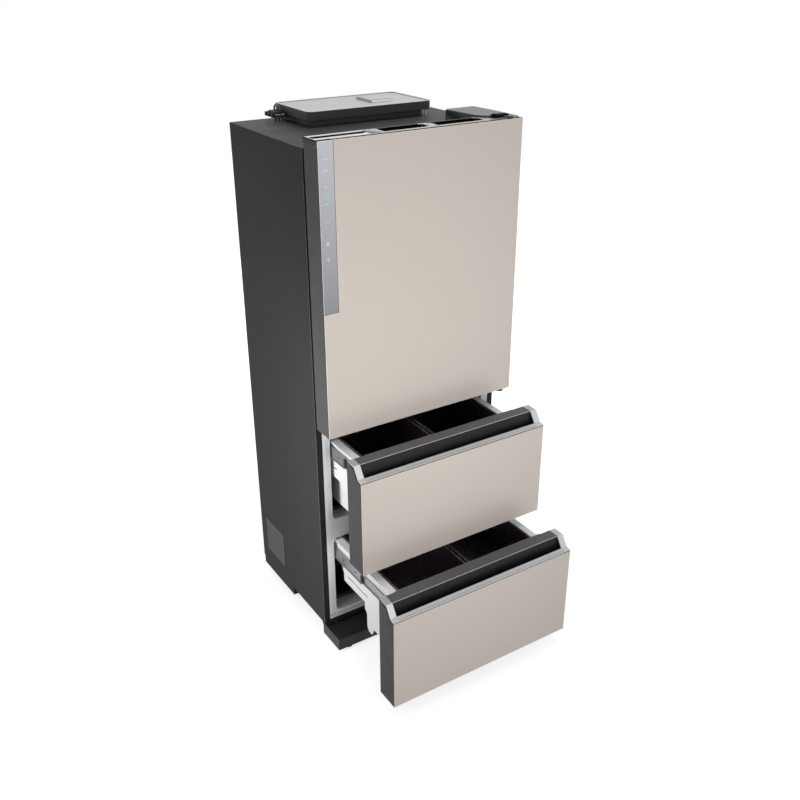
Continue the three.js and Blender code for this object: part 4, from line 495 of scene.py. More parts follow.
def rect(u0, u1, v0, v1, radius=0.0, steps=6):
    """Rectangle with its corners rounded by quarter arcs of a radius in millimetres."""
    if not radius:
        return np.array([[u0, v0], [u1, v0], [u1, v1], [u0, v1]])
    left, right, low, high = drawn_in((u0, u1, v0, v1), radius)
    corners = ((right, low, -90), (right, high, 0), (left, high, 90), (left, low, 180))
    return np.vstack([arc(u, v, radius * MM, start, steps=steps) for u, v, start in corners])


def hoop(bounds, width, low, high, axis="z", radii=(0.0, 0.0), steps=6):
    """A flat frame along the inside of the bounds, pushed along an axis. Its width and the radii of its
    outer and inner corners are in millimetres."""
    outer = rect(*bounds, radii[0], steps)
    return ring(outer, rect(*drawn_in(bounds, width), radii[1], steps), low, high, axis)


def circle(u, v, radius, sides=32):
    """Points on a circle about (u, v)."""
    turn = 2 * np.pi * np.arange(sides) / sides
    return np.stack([u + radius * np.cos(turn), v + radius * np.sin(turn)], axis=1)


def turned(profile, centre, axis="z", sides=48):
    """Surface turned from (radius, height) points: each goes round the axis through the centre at its
    radius. A radius of 0 closes an end; other ends are left flat."""
    profile = np.asarray(profile, float)
    u, v, w = AXES[axis]
    round_ring = circle(0, 0, 1, sides)
    flat = (profile[:, :1, None] * round_ring[None]).reshape(-1, 2) + [centre[u], centre[v]]
    faces = [skin(len(profile), sides)]
    ends = np.arange(len(profile) * sides).reshape(-1, sides)
    if profile[0, 0] > 0:
        faces.append(ends[:1, ::-1])
    if profile[-1, 0] > 0:
        faces.append(ends[-1:])
    return placed(flat, centre[w] + np.repeat(profile[:, 1], sides), axis), faces


def tube(path, radius, lean, sides=12):
    """A round tube along the path: each section lies square to the step from the point before to the
    point after, and starts from the lean direction taken square to that step."""
    along = np.vstack([path[1:2] - path[:1], path[2:] - path[:-2], path[-1:] - path[-2:-1]])
    along /= np.linalg.norm(along, axis=1, keepdims=True)
    across = np.asarray(lean) - along * (along @ np.asarray(lean))[:, None]
    across /= np.linalg.norm(across, axis=1, keepdims=True)
    other = np.cross(along, across)
    round_ring = circle(0, 0, radius, sides)
    sections = across[:, None] * round_ring[None, :, :1] + other[:, None] * round_ring[None, :, 1:]
    points = (path[:, None] + sections).reshape(-1, 3)
    ends = np.arange(len(points)).reshape(-1, sides)
    return points, [skin(len(path), sides), ends[:1, ::-1], ends[-1:]]


def merged(*parts):
    """Several parts as one."""
    starts = np.cumsum([0] + [len(points) for points, _ in parts])
    faces = [block + start for (_, blocks), start in zip(parts, starts) for block in blocks]
    return np.vstack([points for points, _ in parts]), faces


def repeated(part, places):
    """The part at each of the places, which are shifts."""
    points, faces = part
    places = np.asarray(places, float)
    starts = len(points) * np.arange(len(places))[:, None, None]
    copies = (places[:, None] + points[None]).reshape(-1, 3)
    return copies, [(starts + block[None]).reshape(-1, block.shape[1]) for block in faces]


def block(x0, x1, y0, y1, z0, z1):
    """A box between its bounds."""
    return prism(rect(x0, x1, y0, y1), z0, z1)


def screw_head(axis, radius=3.8 * MM, sides=24):
    """Pan head with a cross recess, looking along the axis. Over rings r from 0 to 1 the height is
    0.5 sqrt(1 - 0.7 r^2), less 0.3 where the point lies in a bar of the cross."""
    share = np.array([0, 0.1, 0.2, 0.35, 0.5, 0.6, 0.62, 0.8, 0.92, 1.0])[:, None]
    turn = 2 * np.pi * (np.arange(sides) + 0.5)[None] / sides
    u, v = share * np.cos(turn), share * np.sin(turn)
    recess = (np.minimum(abs(u), abs(v)) < 0.15) & (share < 0.61)
    height = 0.5 * np.sqrt(1 - 0.7 * share**2) - 0.3 * recess
    flat = radius * np.stack([u, v], axis=-1).reshape(-1, 2)
    skirt = radius * np.stack([u[-1], v[-1]], axis=-1)
    heights = radius * np.r_[height.ravel(), np.full(sides, -0.1)]
    rows = len(share) + 1
    end = np.arange(rows * sides).reshape(rows, sides)[-1:]
    return placed(np.vstack([flat, skirt]), heights, axis), [skin(rows, sides), end]


def screws(name, axis, places):
    """Screw heads on the cabinet, looking along the axis."""
    heads = repeated(screw_head(axis), places)
    solid(name, "cabinet", "slide_steel", heads, material=SCREW, smooth_angle=50)


# ---- outer case

# Front and back of the label's place behind the cabinet's face, and its foot and head, in millimetres.
LABEL = (325, 470, 137, 276)
LABEL_THICKNESS = 0.3 * MM
FACE_DEPTH = 1 * MM  # the cabinet's front folds lie within this depth


def outer_case():
    """The sheets of the case, its liner and what is fixed to them."""
    for node in ("left_side_panel", "right_side_panel"):
        softened(node, 0.6, choose=front_flange_shade, extra=(FLANGE_SHADE,))
    softened("top_panel", 0.6, material=TOP_PAINTED_LIGHT, choose=front_flange_shade, extra=(FLANGE_SHADE,))
    softened("base_cover", 0.8, material=SHADOW, choose=cover_end, extra=(FINISH["grey_plastic"],))
    softened("base_frame", 0.5, material=FINISH["case_steel"])
    panel_highlights()
    softened("rear_panel", 0.5)
    softened("machine_room_cover", 0.4)
    softened("inner_liner", 0.5, choose=tub_shade_wall, extra=(TUB_SHADE,))
    foam = NODES["insulation_foam"].data.materials
    foam.clear()
    foam.append(FINISH["insulation_foam"])
    label_place()
    rear_beads()
    rear_screws()
    glides()
    face_frame_beads()


def front_flange_shade(middle, normal):
    """The folds round the cabinet's front are in a darker copy of the paint, which is painted shade."""
    return 1 if normal.y < -0.9 and middle.y < FRONT + FACE_DEPTH else 0


def panel_highlights():
    """Bright line down the front fold of each side panel: a painted highlight."""
    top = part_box("left_side_panel")[1].z
    near, far = FRONT + 0.7 * MM, FRONT + 2.0 * MM
    lines = [block(*on_side(side, HALF, HALF + PROUD), near, far, CASE_LOW.z, top) for side in SIDES]
    solid("side_panel_highlights", "cabinet", "case_steel", merged(*lines), material=PANEL_EDGE_HIGHLIGHT)


def cover_end(middle, normal):
    """The base cover's end walls are dark grey."""
    return 1 if abs(normal.x) > 0.9 and abs(middle.x) > HALF - 12 * MM else 0


def tub_shade_wall(middle, normal):
    """Inner walls of the two drawer tubs, behind the face frame, which take the painted shade."""
    return 1 if middle.y > FRONT + 2.5 * MM and middle.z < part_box("middle_drawer_casing")[1].z else 0


def label_place():
    """Blank plate with a pale rim on the left side panel."""
    front, back, foot, head = (place * MM for place in LABEL)
    bounds, behind = (FRONT + front, FRONT + back, foot, head), -HALF + LABEL_THICKNESS
    plate = prism(rect(*drawn_in(bounds, 2.5), 2), -HALF - LABEL_THICKNESS, behind, "x")
    edge = hoop(bounds, 2.5, -HALF - 2 * LABEL_THICKNESS, behind, "x", (4, 2))
    solid("label_plate", "cabinet", "case_steel", plate, material=LABEL_PLATE)
    solid("label_plate_rim", "cabinet", "case_steel", edge, material=LABEL_RIM)


def rear_beads():
    """Two upright stiffening beads pressed into the rear sheet, each a low rounded frame, and the domed
    plugs of the foam holes above and below them."""
    low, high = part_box("rear_panel")
    foot, head, depths = low.z + 250 * MM, high.z - 60 * MM, (high.y - 0.6 * MM, high.y + 1.2 * MM, "y")
    spans = [(side * HALF / 2 - 0.3 * HALF, side * HALF / 2 + 0.3 * HALF) for side in SIDES]
    beads = [hoop((*span, foot, head), 10, *depths, (30, 20)) for span in spans]
    solid("rear_panel_beads", "cabinet", "galvanised_steel", merged(*beads), 0.8, segments=3)
    dome = np.array([(0, 1.4), (9, 1.3), (12, 0.6), (12.5, -0.4)]) * MM
    heights = (low.z + 205 * MM, high.z - 40 * MM)
    places = [(side * HALF * 0.5, 0, height) for side in SIDES for height in heights]
    plugs = repeated(turned(dome, (0, high.y, 0), "y"), places)
    solid("foam_hole_plugs", "cabinet", "white_plastic", plugs)


def rear_screws():
    """Screws along the machine room cover's long edges, up the rear sheet's sides and along its top."""
    low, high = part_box("machine_room_cover")
    edge = 8 * MM
    across = np.linspace(low.x + edge, high.x - edge, 6)
    places = [(x, high.y, z) for z in (high.z - edge, low.z + edge) for x in across]
    screws("machine_room_cover_screws", "y", places)
    low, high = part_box("rear_panel")
    up = np.linspace(low.z + 190 * MM, high.z - 12 * MM, 6)
    sides = [(side * (HALF - edge), BACK, z) for side in SIDES for z in up]
    top = [(x, BACK, high.z - 6 * MM) for x in np.linspace(-0.6 * HALF, 0.6 * HALF, 4)]
    screws("rear_flange_screws", "y", sides + top)


def glides():
    """Two rubber glides under the base cover's front edge, and the screws that hold the cover."""
    low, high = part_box("base_cover")
    profile = np.array([(0, 0), (13, 0), (15, 2), (15, 7), (9, 10), (9, 40), (0, 40)]) * MM
    places = [(side * (HALF - 58 * MM), low.y + 17 * MM, 0) for side in SIDES]
    solid("base_cover_glides", "cabinet", "foot_rubber", repeated(turned(profile, (0, 0, 0)), places))
    screws("base_cover_screws", "z", [(side * (HALF - 51 * MM), FRONT + 9 * MM, high.z) for side in SIDES])


def face_frame_beads():
    """A raised line round each drawer opening on the liner's face frame, and a dark line at its foot,
    painted shade of a step.
    """
    depths = (FRONT - 0.5 * MM, FRONT + 0.5 * MM, "y")
    openings = [drawn_in(plan(word + "_drawer_gasket", "y"), -3) for word in DRAWERS]
    beads = [hoop(opening, 1, *depths, (34, 33)) for opening in openings]
    low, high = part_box("inner_liner")
    foot, head = low.z + 13 * MM, low.z + 14.4 * MM
    step = block(low.x + 2 * MM, high.x - 2 * MM, FRONT - 0.25 * MM, FRONT + MM, foot, head)
    solid("face_frame_step_shade", "cabinet", "liner_plastic", step, material=FINISH["gasket_rubber"])
    solid("face_frame_beads", "cabinet", "liner_plastic", merged(*beads), 0.3)


# ---- fronts

HANDLE_DEPTH = 20 * MM  # from the front edge of the handle's flat top to the trim's rear
HANDLE_END = 24.5 * MM  # width of the trim's end on each side of the handle
LIP_DROP = 41 * MM  # from the handle's top to the silver lip's front
LIP_SLOPE = 4 / 21  # rise of the lip to the rear
CHAMFER_DROP = 38 * MM  # the chamfers lie within this depth below the handle's top


def fronts():
    """Door and drawer fronts, with their trims."""
    for node in ("door_face", "middle_drawer_face", "lower_drawer_face"):
        softened(node, 0.25, extra=(GLASS_EDGE, CASING_SHADE_AND_JOINTS), choose=ground_edge)
    softened("door_control_strip", 0.25, extra=(STRIP_EDGE, CASING_SHADE_AND_JOINTS), choose=ground_edge)
    control_marks()
    softened("door_casing", 1.2)
    softened("door_top_cap", 0.7, choose=cap_face, extra=(BLACK_AND_SHADE, CASING_SHADE_AND_JOINTS))
    strip_joint()
    cap_linings()
    cap_clip()
    softened("door_liner", 2.0, segments=3)
    for word in DRAWERS:
        handle_trim(word)
        drawer_casing(word)
        handle_edge(word)
        lip_line(word)
        cheek_lines(word)


def ground_edge(middle, normal):
    """The slanted faces are the glass's pale ground edge, and its square sides are in the darker casing copy
    that is painted shade.
    """
    if abs(normal.y) > 0.9:
        return 0
    return 2 if abs(normal.y) < 0.1 else 1


def handle_trim(word):
    """Silver lip, chamfers in a brighter silver as painted highlight, darker silver end tops, and a black
    fold over the face as painted shade.
    """
    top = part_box(word + "_handle_trim")[1].z

    def part(middle, normal):
        if normal.y < -0.9:
            return 1
        if normal.z > 0.95 and middle.z > top - MM:
            return 2
        return 3 if -0.99 < normal.y < -0.4 and middle.z > top - CHAMFER_DROP else 0

    softened(word + "_handle_trim", 0.6, choose=part, extra=(RECESS_SHADE, END_CAP, CHAMFER))


def cap_face(middle, normal):
    """The pockets in the door's top cap are black as painted shade, and its ends are in the darker casing
    copy that is painted shade.
    """
    low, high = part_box("door_top_cap")
    if abs(normal.x) > 0.9 and abs(middle.x) > HALF - 2 * MM:
        return 2
    inside = low.y + 10 * MM < middle.y < high.y - 4 * MM and abs(middle.x) < HALF - 6 * MM
    return 1 if inside and middle.z < high.z - 1 * MM else 0


# Black linings, painted shade over the pockets' openings and along the gap above the face, and joints
# round the cap's pockets; the bright rails of the cap round its left pocket and behind the strip, a
# painted highlight; the clip and its tongue: left, right, front and rear from the cabinet's face, in
# millimetres.
CAP_LININGS = (
    (-356, -175, -44.5, -27),
    (-126, 21, -18.5, -11),
    (-126, 21, -64, -59.5),
    (53, 226, -18.5, -11),
    (53, 226, -64, -59.5),
    (-361, -314, -92.3, -76),
    (-314, 364, -92.3, -82),
    (-365.1, -362, -92.3, -8),
    (-184, -177, -46, -24),
)
CAP_RAILS = ((-361, -172, -26, -10), (-361, -186, -76, -55), (-186, -177, -76, -47))
CAP_CLIP, CAP_TONGUE = (-173, -145, -66, -28), (-164, -154, -60, -34)
CAP_BITE = 2 * MM  # how deep the pieces on the cap go into it


def cap_linings():
    """Black linings flush with the cap, painted shade, and the bright rails between them, a painted
    highlight.
    """
    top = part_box("door_top_cap")[1].z
    linings = [block(*from_face(*lining), top - CAP_BITE, top + PROUD) for lining in CAP_LININGS]
    solid("door_cap_linings", "door", "black_plastic", merged(*linings), material=BLACK_AND_SHADE)
    rails = [block(*from_face(*rail), top - CAP_BITE, top + 0.3 * MM) for rail in CAP_RAILS]
    solid("door_cap_rail_highlights", "door", "silver_trim", merged(*rails), 0.12, RAIL)


def cap_clip():
    """Grey harness clip with a raised tongue, in a black joint between the left and the middle pocket
    of the cap."""
    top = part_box("door_top_cap")[1].z
    bounds, gap = from_face(*CAP_CLIP), 3.5
    joint = hoop(drawn_in(bounds, -gap), gap, top - CAP_BITE, top + 0.2 * MM)
    solid("door_cap_clip_joint", "door", "black_plastic", joint, material=BLACK_AND_SHADE)
    body = block(*bounds, top - CAP_BITE, top + 1.5 * MM)
    tongue = block(*from_face(*CAP_TONGUE), top + 1.3 * MM, top + 3 * MM)
    solid("door_cap_clip", "door", "silver_trim", merged(body, tongue), 0.5, END_CAP)


def drawer_casing(word):
    """Casing of a drawer front in the darker casing copy that is painted shade, black in the handle's
    recess as painted shade, and lighter on its flat top as painted light.
    """
    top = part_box(word + "_drawer_casing")[1].z
    recess_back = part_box(word + "_handle_trim")[1].y
    recess_half, recess_depth = HALF - 20 * MM, 70 * MM

    def part(middle, normal):
        inside = abs(middle.x) < recess_half and top - recess_depth < middle.z < top - 0.5 * MM
        if inside and middle.y < recess_back:
            return 1
        return 2 if normal.z > 0.9 and middle.z > top - MM else 0

    softened(word + "_drawer_casing", 0.8, material=CASING_SHADE_AND_JOINTS, choose=part, extra=(RECESS_SHADE, HANDLE_TOP_PAINTED_LIGHT))


def handle_edge(word):
    """Bright bead along the front edge of the handle's flat top, a painted highlight, and a silver cap at
    each of its ends.
    """
    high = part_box(word + "_handle_trim")[1]
    front, across = high.y - HANDLE_DEPTH, HALF - HANDLE_END
    section = rect(front - 0.5 * MM, front + 1.0 * MM, high.z - 1.2 * MM, high.z + 0.25 * MM, 0.3, 2)
    solid(word + "_handle_edge_highlight", word + "_drawer", "silver_trim", prism(section, -across, across, "x"))
    near, far = high.y - 0.3 * MM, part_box(word + "_drawer_casing")[1].y - 0.3 * MM
    heights = (high.z - MM, high.z + 0.2 * MM)
    caps = [block(*on_side(side, across, HALF), near, far, *heights) for side in SIDES]
    solid(word + "_handle_ends", word + "_drawer", "silver_trim", merged(*caps), 0.15, END_CAP)


def lip_line(word):
    """Fine groove along the silver lip, drawn as a dark line that follows its slope."""
    low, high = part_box(word + "_handle_trim")
    near, far, across = 6.5 * MM, 7.6 * MM, HALF - 24 * MM
    outline = [(near, 0.1), (near, -0.3), (far, -0.3), (far, 0.1)]
    section = [(low.y + back, high.z - LIP_DROP + back * LIP_SLOPE + rise * MM) for back, rise in outline]
    groove = prism(section, -across, across, "x")
    solid(word + "_lip_line", word + "_drawer", "silver_trim", groove, material=CASING_SHADE_AND_JOINTS)


def cheek_lines(word):
    """Black joint under the trim on each cheek of the casing, widened into painted shade under the trim:
    the trim's underside, and the same line moved 6 mm square to itself, and less at the front."""
    front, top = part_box(word + "_handle_trim")[0].y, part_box(word + "_handle_trim")[1].z
    upper = np.array([(66, -3.1), (44.2, -3.1), (18.8, -40.6), (4.2, -43.4)])
    lower = np.array([(66, -9.5), (47.6, -9.5), (22.6, -45.6), (4.2, -48.2)])
    outline = np.vstack([upper, lower[::-1]]) * MM + [front, top]
    cheeks = [prism(outline, *on_side(side, HALF - 0.2 * MM, HALF + PROUD), "x") for side in SIDES]
    solid(word + "_cheek_joint_shade", word + "_drawer", "black_plastic", merged(*cheeks), material=BLACK_AND_SHADE)


# ---- control marks

MARK_DEPTH = 0.12 * MM
MARK_INSET = 22 * MM  # from the cabinet's left side to the middle of the marks
MARK_ROWS = {
    "bars": 1773, "ring": 1741, "minus": 1694, "glow": 1664, "plus": 1645,
    "wave": 1590, "dots": 1575, "cross": 1528, "funnel": 1483,
}  # millimetres above the floor


def strip_joint():
    """Dark joint down the strip's right edge and along its foot, with the face's bright edge beside it."""
    low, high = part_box("door_control_strip")
    near, far = low.y - MARK_DEPTH, low.y + 0.5 * MM

    def corner(inner, outer):
        """An upright and a foot between two distances outwards from the strip's edge."""
        upright = block(high.x + inner, high.x + outer, near, far, low.z - outer, high.z)
        return merged(upright, block(low.x, high.x + inner, near, far, low.z - outer, low.z - inner))

    solid("strip_joint", "door", "control_strip", corner(-0.9 * MM, 0.3 * MM), material=CASING_SHADE_AND_JOINTS)
    solid("strip_face_edge", "door", "face_panel", corner(0.3 * MM, 1.9 * MM), material=GLASS_EDGE)


def control_marks():
    """Plain marks behind the control strip: bars, a ring, signs, dots and a funnel, and one lit dot.
    Widths and radii are in millimetres."""
    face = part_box("door_control_strip")[0].y
    depths = (face - MARK_DEPTH, face + MARK_DEPTH, "y")
    x = -HALF + MARK_INSET
    z = {name: height * MM for name, height in MARK_ROWS.items()}

    def bar(dx, middle, width, height):
        bounds = around(x + dx * MM, middle, width * MM / 2, height * MM / 2)
        return prism(rect(*bounds, min(width, height) / 3, 2), *depths)

    def dot(dx, middle, radius, sides=32):
        return prism(circle(x + dx * MM, middle, radius * MM, sides), *depths)

    def loop(middle, radius, inner):
        return ring(circle(x, middle, radius * MM), circle(x, middle, inner * MM), *depths)

    thin = 1.1
    marks = [bar(dx, z["bars"], 4.5, 1.4 * thin) for dx in (-5, 1, 7)]
    marks += [loop(z["ring"], 3.6, 0.72 * 3.6), bar(8, z["ring"], 5, thin), bar(-7, z["ring"], 3, thin)]
    marks += [bar(0, z["minus"], 8, 1.5 * thin), bar(-3, z["minus"] + 14 * MM, 5, thin)]
    marks += [bar(0, z["plus"], 7, thin), bar(0, z["plus"], thin, 7)]
    marks += [bar(dx, z["wave"] + rise * MM, 3.4, thin) for dx, rise in ((-4, 0), (0, 2), (4, 0), (8, 2))]
    marks += [dot(dx, z["dots"], 1.1, 12) for dx in (-5, 0, 5)]
    marks += [bar(0, z["cross"], 8, thin), bar(0, z["cross"], thin, 8), loop(z["cross"], 5, 0.72 * 5)]
    marks += [bar(0, z["funnel"] - step * 4 * MM, 11 - 4 * step, thin) for step in range(3)]
    solid("control_marks", "door", "control_strip", merged(*marks), material=MARK)
    solid("control_glow", "door", "control_strip", dot(0, z["glow"], 5.2), material=GLOW)
    solid("control_halo", "door", "control_strip", loop(z["glow"], 8, 6.6), material=HALO)


# ---- drawers and bins

SLIDE_SHEET = 1.2 * MM
LIP_RADIUS = 0.7 * MM


def drawers():
    """Boxes, bins, gaskets and slides of both drawers."""
    for word in DRAWERS:
        softened(word + "_drawer_box", 0.9)
        softened(word + "_drawer_gasket", 1.0)
        gasket_lips(word + "_drawer_gasket")
        for side in ("left", "right"):
            softened(f"{word}_{side}_bin", 0.7, segments=3)
            bin_rim(f"{word}_{side}_bin")
            for member in ("drawer", "middle"):
                softened(f"{word}_{side}_slide_{member}_member", 0.25)
            slide_fittings(word, side)


def gasket_lips(node):
    """Two thin lips that run round the gasket, each a tube along a rounded rectangle."""
    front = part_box(node)[0].y
    lips = []
    for inset in (3.2, 10.8):
        flat = rect(*drawn_in(plan(node, "y"), inset), 28, 8)
        path = placed(np.vstack([flat, flat[:2]]), front + 1.5 * MM, "y")
        lips.append(tube(path, LIP_RADIUS, (0, 1, 0), 8))
    solid(node + "_lips", BODY_OF[node], "gasket_rubber", merged(*lips))


def bin_rim(node):
    """Two pale lines along a bin's rim: painted highlights on its edges."""
    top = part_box(node)[1].z
    lines = [
        hoop(drawn_in(plan(node), inset), width, top - 0.2 * MM, top + 0.3 * MM, "z", (4, 3), 4)
        for inset, width in ((0.9, 0.9), (5.8, 0.7))
    ]
    solid(node + "_rim_highlights", BODY_OF[node], "dark_plastic", merged(*lines), material=BIN_EDGE_HIGHLIGHT)


def slide_fittings(word, side):
    """On the outward face of a slide's middle member: two rolled ribs, a row of oval holes drawn as
    flat ovals in painted shade, and a black end stop."""
    hand = -1 if side == "left" else 1
    node = f"{word}_{side}_slide_middle_member"
    low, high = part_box(node)
    web = (low.x + high.x) / 2 + hand * SLIDE_SHEET
    centre = (low.z + high.z) / 2
    name, body = f"{word}_{side}_slide", BODY_OF[node]

    def outward(outline, height):
        return prism(outline, *sorted((web, web + hand * height)), "x")

    ribs = [
        outward(rect(low.y + 4 * MM, high.y - 4 * MM, z - 0.9 * MM, z + 0.9 * MM), 0.35 * MM)
        for z in (centre - 8 * MM, centre + 8 * MM)
    ]
    solid(name + "_ribs", body, "slide_steel", merged(*ribs), 0.2)
    hole = outward(rect(*around(0, 0, 6 * MM, 2.6 * MM), 2.5), PROUD)
    places = [(0, y, centre) for y in np.linspace(low.y + 45 * MM, high.y - 45 * MM, 5)]
    solid(name + "_hole_shade", body, "black_plastic", repeated(hole, places), material=RECESS_SHADE)
    stop = outward(rect(low.y + 0.2 * MM, low.y + 7 * MM, centre - 14 * MM, centre + 14 * MM), 3 * MM)
    solid(name + "_stop", body, "black_plastic", stop, 0.8)


def door_fittings():
    """The door's gasket and its three bins."""
    softened("door_gasket", 1.0)
    gasket_lips("door_gasket")
    for i in (1, 2, 3):
        softened(f"door_bin_{i}", 0.9)
        door_bin_band(i)


def door_bin_band(i):
    """Silver band along the front of a door bin's rim."""
    low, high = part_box(f"door_bin_{i}")
    section = rect(high.y - 0.2 * MM, high.y + 0.6 * MM, high.z - 14 * MM, high.z - 4 * MM, 0.3, 2)
    band = prism(section, low.x + 12 * MM, high.x - 12 * MM, "x")
    solid(f"door_bin_{i}_band", "door", "silver_trim", band)


# ---- top and hinges

LID_RIM_HEIGHT = 6 * MM  # the lid's rim above its inlay's face
# The hinge cover's lever and its grip, in the same way.
HINGE_LEVER, HINGE_GRIP = (274, 334, -69, -41), (280, 288, -64, -46)


def lid_face(middle, normal):
    """The sunk face of the control box's lid is the inlay."""
    x0, x1, y0, y1 = drawn_in(plan("control_box_lid"), 5)
    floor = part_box("control_box_lid")[1].z - 8.6 * MM
    return 1 if middle.z > floor and x0 < middle.x < x1 and y0 < middle.y < y1 else 0


def cover_top(middle, normal):
    """The hinge cover's lid and the wall over the door are grey, and its other walls are black."""
    lid = normal.z > 0.97 and middle.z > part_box("hinge_cover")[1].z - 2 * MM
    return 1 if lid or middle.y < FRONT - 62 * MM else 0


def cabinet_top():
    """The control box, the hinge cover and the hinge brackets."""
    softened("control_box_base", 2.0, material=CONTROL_BOX, segments=3)
    softened("control_box_lid", 1.2, segments=3, choose=lid_face, extra=(INLAY,))
    inlay_rim()
    softened("hinge_cover", 0.6, material=SHADOW, choose=cover_top, extra=(COVER,), crown=6)
    hinge_lever()
    box_spacers()
    harness_loop()
    softened("top_hinge_bracket", 0.5)
    softened("lower_hinge_bracket", 0.5)


def inlay_rim():
    """Bright line round the inlay of the control box's lid."""
    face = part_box("control_box_lid")[1].z - LID_RIM_HEIGHT
    bounds = drawn_in(plan("control_box_lid"), 5.2)
    line = hoop(bounds, 2.2, face - MM, face + 0.3 * MM, "z", (22, 20.5), 8)
    solid("control_box_inlay_rim", "cabinet", "silver_trim", line, 0.2, INLAY_RIM)


def box_spacers():
    """White spacers under the lid at the right end of the control box."""
    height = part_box("control_box_lid")[0].z - CASE_TOP
    post = turned(np.array([(3.4, 0), (3.4, 2), (2.4, 3), (2.4, height / MM)]) * MM, (0, 0, CASE_TOP))
    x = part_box("control_box_base")[1].x + 4.5 * MM
    places = [(x, FRONT + y * MM, 0) for y in (300, 420)]
    solid("control_box_spacers", "cabinet", "white_plastic", repeated(post, places))


def harness_loop():
    """Black loop that holds the wiring at the control box's left end: a tube up, over by two quarter
    arcs and down. Under it is a bracket, a plate with three fingers."""
    (left, _, _), (_, _, shelf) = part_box("control_box_base")
    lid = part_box("control_box_lid")[0]
    foot, head, bend = shelf - MM, lid.z + 24 * MM, 12 * MM
    near, far = FRONT + 448 * MM, FRONT + 494 * MM
    rise = arc(near + bend, head - bend, bend, 180, -90)
    fall = arc(far - bend, head - bend, bend, 90, -90)
    arch = placed(np.vstack([[(near, foot)], rise, fall, [(far, foot)]]), lid.x - 8 * MM, "x")
    solid("harness_loop", "cabinet", "black_plastic", tube(arch, 3.2 * MM, (1, 0, 0)))
    plate_left, plate_front = left - 3 * MM, near - 8 * MM
    plate = block(plate_left, lid.x - MM, plate_front, far, shelf + 0.3 * MM, shelf + 9 * MM)
    fingers = [
        block(left - 16 * MM, plate_left, y, y + 9 * MM, shelf - 8 * MM, shelf + 6 * MM)
        for y in (plate_front, near + 14 * MM, far - 9 * MM)
    ]
    solid("harness_bracket", "cabinet", "black_plastic", merged(plate, *fingers), 0.8, SHADOW)


def hinge_lever():
    """Black release lever with a raised grip, lying across the hinge cover, over the door."""
    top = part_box("hinge_cover")[1].z
    lever = prism(rect(*from_face(*HINGE_LEVER), 9), top - 0.5 * MM, top + 4 * MM)
    grip = prism(rect(*from_face(*HINGE_GRIP), 3), top + 3.8 * MM, top + 6.5 * MM)
    solid("hinge_cover_lever", "cabinet", "black_plastic", merged(lever, grip), 0.8, BLACK_AND_SHADE)


# ---- machine room and duct


def inner_works():
    """Cooling parts, feet, rollers and shelves."""
    for node in ("compressor", "condenser", "condenser_fan_shroud", "condenser_fan_rotor", "evaporator"):
        softened(node, 0.3)
    for node in ("duct_fan_motor", "duct_fan_rotor", "air_duct_cover", "lower_shelf", "upper_shelf"):
        softened(node, 0.5)
    for node in ("left_levelling_foot", "right_levelling_foot", "left_rear_roller", "right_rear_roller"):
        softened(node, 0.4)
    softened("interior_lamp_cover", 0.6)
    for word in ("lower", "upper"):
        shelf_trim(word)


def shelf_trim(word):
    """Silver trim along the front edge of a shelf."""
    low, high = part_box(word + "_shelf")
    section = rect(low.y - 0.8 * MM, low.y + 0.6 * MM, low.z + 2 * MM, high.z - 2 * MM, 0.4, 2)
    trim = prism(section, low.x + 14 * MM, high.x - 14 * MM, "x")
    solid(word + "_shelf_trim", "cabinet", "silver_trim", trim)


# ---- floor, light, camera

IMAGE = 800  # pixels across the photograph
CAMERA_PLACE = Vector((-1.5769, -2.4552, 2.3132))
CAMERA_TURN = (-32.761, 26.016, -0.053)  # azimuth, elevation and roll in degrees
FOCAL_PIXELS = 931.3
CENTRE_PIXEL = (406.3, 398.5)
SENSOR = 36.0
FLOOR_REACH = 9.0
WORLD_AHEAD, WORLD_BEHIND = 0.36, 0.06  # strength of the surround before and behind the object


def looking(azimuth, elevation, roll=0.0):
    """Rotation of a camera that looks from this direction."""
    a, e = math.radians(azimuth), math.radians(elevation)
    back = Vector((math.sin(a) * math.cos(e), -math.cos(a) * math.cos(e), math.sin(e)))
    right = Vector((math.cos(a), math.sin(a), 0))
    turn = Matrix((right, back.cross(right), back)).transposed()
    return (turn @ Matrix.Rotation(math.radians(roll), 3, "Z")).to_euler()


def camera():
    """The camera of the photograph."""
    data = bpy.data.cameras.new("photo_camera")
    data.sensor_width = SENSOR
    data.lens = SENSOR * FOCAL_PIXELS / IMAGE
    data.shift_x = (IMAGE / 2 - CENTRE_PIXEL[0]) / IMAGE
    data.shift_y = (CENTRE_PIXEL[1] - IMAGE / 2) / IMAGE
    data.clip_end = 50
    made = in_scene("photo_camera", data)
    made.location = CAMERA_PLACE
    made.rotation_euler = looking(*CAMERA_TURN)
    bpy.context.scene.camera = made


def softbox(name, place, aim, width, height, watts, beam=180):
    """Area light at a place, turned to the aim, with a beam in degrees. The camera doesn't see it."""
    data = bpy.data.lights.new(name, "AREA")
    data.shape = "RECTANGLE"
    data.size = width
    data.size_y = height
    data.energy = watts
    data.spread = math.radians(beam)
    made = in_scene(name, data)
    made.location = place
    made.rotation_euler = (Vector(place) - Vector(aim)).to_track_quat("Z", "Y").to_euler()
    made.visible_camera = False


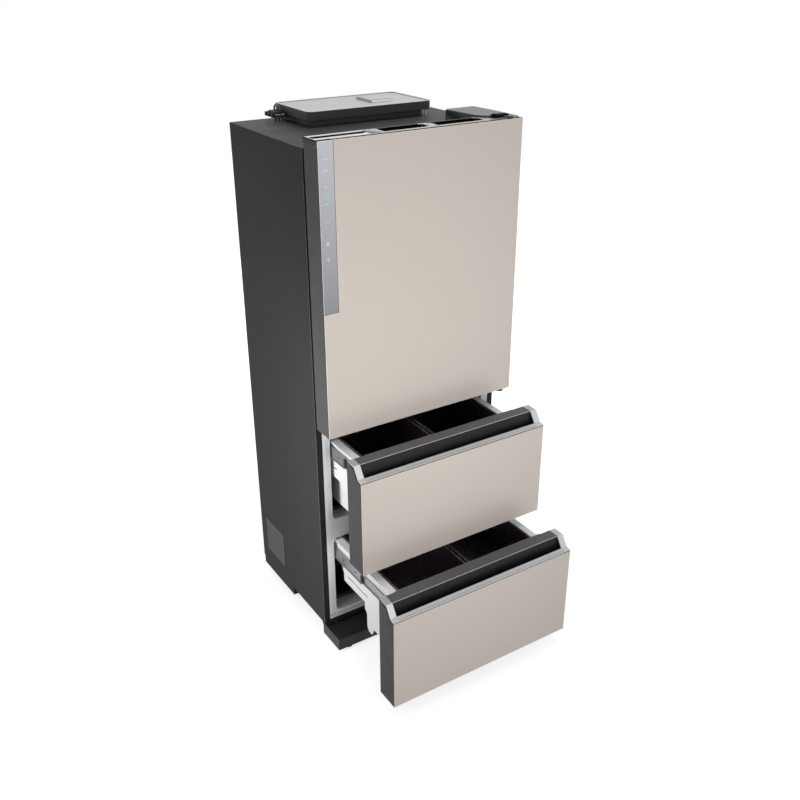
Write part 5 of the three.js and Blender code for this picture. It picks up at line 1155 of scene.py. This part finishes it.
def studio():
    """Pale floor, soft lamps and a white surround."""
    pale_floor()
    softbox("key", (-0.6, -4.8, 2.4), (0, -0.1, 1.0), 2.6, 2.4, 25)
    softbox("door_light", (-0.45, -2.6, 1.25), (-0.12, 0, 1.05), 0.8, 0.8, 5, 70)
    softbox("left_front", (-0.82, -0.08, 0.78), (-0.36, -0.01, 0.76), 0.22, 1.1, 4.7)
    softbox("overhead", (0.2, -0.9, 4.2), (0, 0, 0.6), 2.6, 2.6, 42)
    softbox("right_rear", (3.6, 1.6, 1.8), (0, 0.2, 0.9), 2.0, 2.6, 34)
    softbox("rear", (0.8, 4.6, 1.1), (0, 0.5, 0.9), 2.4, 1.6, 42)
    surround()
    bpy.context.scene.view_settings.view_transform = "Standard"


def surround():
    """World that is white where it is seen, and lights the object more from ahead than from behind."""
    world = bpy.data.worlds.new("studio")
    bpy.context.scene.world = world
    tree = NodeTree(world)
    backward = tree.along("Y", tree.node("ShaderNodeTexCoord").outputs["Generated"])
    lighting = tree.ramp(backward, -0.7, 0.7, WORLD_AHEAD, WORLD_BEHIND)
    strength = tree.node("ShaderNodeMix", {"Factor": tree.seen_directly(), "A": lighting, "B": 1.0})
    background = tree.nodes["Background"]
    background.inputs["Color"].default_value = (1, 1, 1, 1)
    tree.links.new(strength.outputs["Result"], background.inputs["Strength"])


def pale_floor():
    """A disc whose glow, where it is seen, rises from 0.76 at 0.5 m from its middle to 1.05 at 2.4 m, so
    that it meets the white surround."""
    f = Finish("pale_floor", (0.42, 0.42, 0.42), 0.8, Emission_Color=(1, 1, 1, 1))
    distance = f.node("ShaderNodeVectorMath", {0: f.place}, operation="LENGTH").outputs["Value"]
    glow = f.ramp(distance, 0.5, 2.4, 0.76, 1.05)
    shown = f.node("ShaderNodeMath", {0: glow, 1: f.seen_directly()}, operation="MULTIPLY")
    f.feed("Emission Strength", shown.outputs["Value"]).mottled(0.7, 0.004)
    mesh = bpy.data.meshes.new("floor")
    rim = placed(circle(0, 0, FLOOR_REACH, 96), 0.0, "z")
    mesh.from_pydata(rim.tolist(), [], [list(range(len(rim)))])
    mesh.materials.append(f.material)
    return in_scene("floor", mesh)


outer_case()
fronts()
drawers()
door_fittings()
cabinet_top()
inner_works()
camera()
studio()
